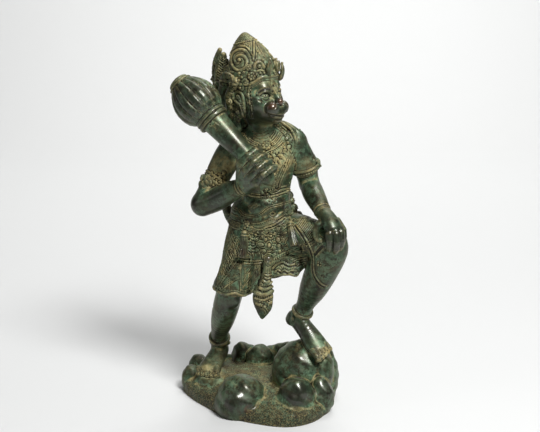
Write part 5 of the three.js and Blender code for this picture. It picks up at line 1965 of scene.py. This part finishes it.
def off_stones(places):
    """How far the low points of the mound lie from the stones, in millimetres up to 5."""
    away = np.full(len(places), float(STONES_TOP))
    low = places[:, 2] < STONES_TOP
    if low.any():
        x, y, z = places[low].T
        away[low] = np.min([distance(x, y, z) for _, _, distance in stones], axis=0)
        away[low] -= np.maximum(z - GROUND_TOP, 0) * 2
    return np.clip(away, -5, 5) * low


def finish(mesh):
    """Smooth normals from the field itself, and what the patina reads at each point."""
    places = np.empty(len(mesh.vertices) * 3, np.float32)
    mesh.vertices.foreach_get("co", places)
    places = places.reshape(-1, 3) * 1000
    normals = facing(places, 0.6)
    mesh.polygons.foreach_set("use_smooth", np.ones(len(mesh.polygons), bool))
    mesh.normals_split_custom_set_from_vertices(normals)
    near_by, far_off = crowding(places, (3.5, 9))
    values = {
        "fine": hollowness(places, normals, 1.0), "broad": hollowness(places, normals, 2.4),
        "near_by": near_by, "far_off": far_off, "ground": off_stones(places),
        "rubbed": marked(places, RUBBED), "dusted": marked(places, DUSTED),
    }
    for name, value in values.items():
        layer = mesh.attributes.new(name, "FLOAT", "POINT")
        layer.data.foreach_set("value", value.astype(np.float32))


class Tree:
    """A material's nodes, with short ways to add and join them."""

    def __init__(self, name):
        self.material = bpy.data.materials.new(name)
        self.material.use_nodes = True
        self.tree = self.material.node_tree
        self.tree.nodes.clear()
        self.shader = self.node("ShaderNodeBsdfPrincipled")
        self.node("ShaderNodeOutputMaterial", {"Surface": self.shader.outputs["BSDF"]})

    def feed(self, socket, value):
        """A socket takes another node's output, or a constant."""
        if hasattr(value, "is_linked"):
            self.tree.links.new(value, socket)
        else:
            socket.default_value = value

    def node(self, kind, inputs=None, **settings):
        made = self.tree.nodes.new(kind)
        for key, value in settings.items():
            setattr(made, key, value)
        for key, value in (inputs or {}).items():
            self.feed(made.inputs[key], value)
        return made

    def noise(self, scale, detail, rough):
        place = self.node("ShaderNodeTexCoord").outputs["Object"]
        inputs = {"Vector": place, "Scale": scale, "Detail": detail, "Roughness": rough}
        return self.node("ShaderNodeTexNoise", inputs).outputs["Fac"]

    def ramp(self, value, low, high):
        """A value brought from low..high to 0..1."""
        inputs = {"Value": value, "From Min": low, "From Max": high}
        made = self.node("ShaderNodeMapRange", inputs, clamp=True, interpolation_type="SMOOTHSTEP")
        return made.outputs["Result"]

    def clouds(self, scale, detail, rough, low, high):
        return self.ramp(self.noise(scale, detail, rough), low, high)

    def calc(self, kind, a, b):
        return self.node("ShaderNodeMath", {0: a, 1: b}, operation=kind).outputs[0]

    def plus(self, a, b):
        return self.calc("ADD", a, b)

    def minus(self, a, b):
        return self.calc("SUBTRACT", a, b)

    def times(self, a, b):
        return self.calc("MULTIPLY", a, b)

    def least(self, a, b):
        return self.calc("MINIMUM", a, b)

    def mixed(self, share, a, b):
        made = self.node("ShaderNodeMix", {"Factor": share}, data_type="RGBA")
        for socket, value in zip([s for s in made.inputs if s.type == "RGBA"], (a, b)):
            self.feed(socket, value)
        return next(s for s in made.outputs if s.type == "RGBA")

    def carried(self, name):
        return self.node("ShaderNodeAttribute", attribute_name=name).outputs["Fac"]


DARK, OLIVE, GREEN = (0.011, 0.010, 0.006, 1), (0.044, 0.043, 0.021, 1), (0.040, 0.088, 0.048, 1)
# the near black below serves the dark pits of the stippled ground and the deeper cuts, where it is partly
# dark patina and partly painted shade
PALE_GREEN, COPPER, SOOT_AND_SHADE = (0.15, 0.27, 0.16, 1), (0.085, 0.030, 0.013, 1), (0.010, 0.009, 0.006, 1)
DUST, PALE_DUST = (0.33, 0.262, 0.104, 1), (0.49, 0.425, 0.21, 1)


class Bronze(Tree):
    """Cast bronze, whose patina follows the form by what its meshes carry, with painted shade in its deeper
    cuts.
    """

    def __init__(self):
        super().__init__("bronze_patina")
        self.fine, self.broad, self.near_by, self.far_off, self.handled = (
            self.carried(name) for name in ("fine", "broad", "near_by", "far_off", "rubbed"))
        self.depth = self.plus(self.fine, self.times(self.broad, 0.2))
        self.sheltered = self.ramp(self.plus(self.far_off, self.times(self.near_by, 0.8)), -0.16, 0.12)
        self.on_ground = self.ramp(self.carried("ground"), 0.2, 1.8)
        self.base = self.mixed(self.clouds(44, 7, 0.7, 0.42, 0.56), DARK, OLIVE)
        self.verdigris()
        self.wear()
        self.dust()
        self.stipple()
        self.surface()

    def cover(self, share, colour):
        self.base = self.mixed(share, self.base, colour)

    def verdigris(self):
        """Green in wide patches and pale spots, most of all where the metal is sheltered."""
        shelter = self.plus(0.35, self.times(self.sheltered, 0.65))
        self.cover(self.times(self.clouds(70, 7, 0.74, 0.45, 0.54), shelter), GREEN)
        spots = self.times(self.clouds(210, 6, 0.74, 0.46, 0.55), self.clouds(42, 4, 0.6, 0.40, 0.54))
        self.spots = self.times(spots, shelter)
        self.cover(self.times(self.spots, 0.85), PALE_GREEN)

    def wear(self):
        """What stands proud or is often touched is rubbed dark and smooth, and most of all to copper."""
        proud = self.times(self.ramp(self.broad, -0.3, -0.85), self.clouds(60, 4, 0.6, 0.3, 0.55))
        self.rubbed = self.least(self.plus(self.times(proud, 0.8), self.handled), 1.0)
        self.cover(self.times(self.rubbed, 0.8), DARK)
        bare = self.times(self.ramp(self.handled, 0.82, 1.0), self.clouds(110, 5, 0.6, 0.34, 0.56))
        self.cover(self.times(bare, 0.85), COPPER)

    def lying_dust(self):
        """Dust on the relief's tops and along its feet, in patches and grains."""
        wide = self.plus(0.45, self.times(self.clouds(27, 3, 0.6, 0.38, 0.55), 0.55))
        patches = self.times(self.clouds(70, 5, 0.65, 0.32, 0.56), wide)
        band = self.times(self.ramp(self.depth, 0.02, 0.09), self.ramp(self.depth, 0.24, 0.14))
        creases = self.times(self.ramp(self.near_by, 0.04, 0.2), 0.35)
        tops = self.times(self.ramp(self.depth, -0.1, -0.3), 0.85)
        grains = self.times(self.times(self.clouds(420, 4, 0.7, 0.36, 0.6), patches), 0.4)
        share = self.plus(grains, self.plus(self.times(patches, 0.42), 0.07))
        return self.times(self.least(self.plus(self.plus(band, creases), tops), 1.0), share)

    def film_of_dust(self):
        """A thin film in sheltered places and on what faces the sky, thicker where dust has settled."""
        normal = self.node("ShaderNodeNewGeometry").outputs["Normal"]
        height = self.node("ShaderNodeSeparateXYZ", {0: normal}).outputs["Z"]
        skyward = self.ramp(height, 0.2, 0.95)
        film = self.plus(self.times(self.sheltered, 0.14), self.times(skyward, 0.14))
        film = self.times(self.clouds(150, 6, 0.75, 0.42, 0.62), film)
        heavy = self.times(self.carried("dusted"), 0.9)
        return self.plus(film, self.times(self.clouds(130, 6, 0.75, 0.30, 0.56), heavy))

    def dust(self):
        """Ochre dust, greenish in places, and the deeper cuts darkened to near black, partly dark patina and
        partly painted shade.
        """
        much = self.least(self.plus(self.lying_dust(), self.film_of_dust()), 0.95)
        self.dusty = self.times(much, self.minus(1.0, self.times(self.handled, 0.9)))
        ochre = self.mixed(self.clouds(240, 4, 0.6, 0.4, 0.62), DUST, PALE_DUST)
        verdant = self.mixed(self.clouds(200, 4, 0.6, 0.4, 0.6), GREEN, PALE_GREEN)
        greenish = self.times(self.clouds(85, 6, 0.7, 0.48, 0.58), 0.5)
        self.cover(self.dusty, self.mixed(greenish, ochre, verdant))
        # painted shade: the deeper a cut, the nearer it is painted to black, partly dark patina and partly
        # painted shade
        self.cover(self.times(self.ramp(self.depth, 0.08, 0.21), 0.96), SOOT_AND_SHADE)

    def stipple(self):
        """The ground between the stones is stippled."""
        self.holes = self.times(self.clouds(760, 3, 0.6, 0.48, 0.54), self.on_ground)
        self.dots = self.times(self.clouds(860, 3, 0.6, 0.53, 0.60), self.on_ground)
        self.cover(self.times(self.holes, 0.85), SOOT_AND_SHADE)
        self.cover(self.times(self.dots, 0.6), DUST)

    def surface(self):
        """Dust and spots are dull, and what is rubbed has a waxy shine over a fine pitting."""
        dull = self.plus(self.dusty, self.times(self.spots, 0.35))
        dull = self.least(self.plus(dull, self.times(self.on_ground, 0.35)), 1.0)
        rough = self.plus(0.34, self.times(dull, 0.5))
        pitted = self.plus(self.times(self.noise(300, 6, 0.6), 0.8), self.noise(90, 4, 0.6))
        grain = self.minus(self.times(self.dots, 0.5), self.times(self.holes, 0.5))
        relief = self.plus(self.times(pitted, 0.35), grain)
        bump = self.node("ShaderNodeBump", {"Strength": 0.6, "Distance": 0.0007, "Height": relief})
        looks = {
            "Base Color": self.base,
            "Roughness": self.plus(rough, self.times(self.clouds(120, 4, 0.6, 0.35, 0.7), 0.12)),
            "Metallic": self.minus(0.4, self.times(dull, 0.4)),
            "Coat Weight": self.times(self.minus(1.0, dull), self.plus(0.06, self.times(self.rubbed, 0.6))),
            "IOR": 1.5, "Specular Tint": (1.0, 0.96, 0.78, 1), "Coat Roughness": 0.2, "Coat IOR": 1.7,
            "Normal": bump.outputs["Normal"],
        }
        for key, value in looks.items():
            self.feed(self.shader.inputs[key], value)


def paper():
    tree = Tree("paper")
    tree.feed(tree.shader.inputs["Base Color"], (0.715, 0.72, 0.715, 1))
    tree.feed(tree.shader.inputs["Roughness"], 0.9)
    return tree.material


patina = Bronze().material
for casting in castings():
    casting.data.materials.append(patina)
    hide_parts("hanuman_figure")
    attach(casting, "root")

# The studio, in metres.
LAMPS = (  # name, place, what it points at, width and height, watts
    ("key", (0.50, -0.80, 1.34), (0, 0, 0.24), (0.42, 0.42), 26),
    ("side", (-1.3, -0.4, 0.7), (0, 0, 0.2), (0.25, 0.8), 1.0),
    ("top", (0.9, 0.3, 2.1), (0.7, 0.3, 0), (1.2, 1.2), 2),
    ("backdrop", (0.4, 0.9, 2.1), (-0.2, 2.3, 0.9), (1.1, 0.7), 47),
)
HALF_WIDTH, FLOOR_FROM, FLOOR_TO, SWEEP, WALL_TOP = 4.0, -3.0, 1.4, 0.9, 4.0
GLOW = 0.09  # the strength of the white world
SENSOR, PHOTO_WIDTH = 36, 540  # millimetres, and pixels


def lamp(name, place, target, size, power):
    data = bpy.data.lights.new(name, "AREA")
    data.shape = "RECTANGLE"
    data.size, data.size_y = size
    data.energy = power
    made = bpy.data.objects.new(name, data)
    made.location = place
    made.rotation_euler = (Vector(target) - Vector(place)).to_track_quat("-Z", "Y").to_euler()
    bpy.context.scene.collection.objects.link(made)


def backdrop():
    """A pale floor that sweeps up to a wall."""
    sweep = [(FLOOR_TO + SWEEP * math.sin(t), SWEEP - SWEEP * math.cos(t))
             for t in np.linspace(0, math.pi / 2, 24)[1:]]
    profile = [(FLOOR_FROM, 0.0), (FLOOR_TO, 0.0)] + sweep + [(FLOOR_TO + SWEEP, WALL_TOP)]
    points = [(x, y, z) for y, z in profile for x in (-HALF_WIDTH, HALF_WIDTH)]
    faces = [(2 * i, 2 * i + 1, 2 * i + 3, 2 * i + 2) for i in range(len(profile) - 1)]
    mesh = bpy.data.meshes.new("backdrop")
    mesh.from_pydata(points, [], faces)
    for face in mesh.polygons:
        face.use_smooth = True
    floor = bpy.data.objects.new("backdrop", mesh)
    bpy.context.scene.collection.objects.link(floor)
    mesh.materials.append(paper())


def world():
    made = bpy.data.worlds.new("studio")
    made.use_nodes = True
    glow = made.node_tree.nodes["Background"].inputs
    glow["Color"].default_value = (1, 1, 1, 1)
    glow["Strength"].default_value = GLOW
    bpy.context.scene.world = made
    bpy.context.scene.view_settings.view_transform = "Standard"


def camera():
    """The photograph's camera."""
    data = bpy.data.cameras.new("photograph")
    data.lens, data.sensor_width, data.sensor_fit = FOCUS * SENSOR / PHOTO_WIDTH, SENSOR, "HORIZONTAL"
    made = bpy.data.objects.new("photograph", data)
    made.location = EYE / 1000
    made.rotation_euler = (math.pi / 2 - PITCH, 0, 0)
    bpy.context.scene.collection.objects.link(made)
    bpy.context.scene.camera = made


backdrop()
for row in LAMPS:
    lamp(*row)
world()
camera()
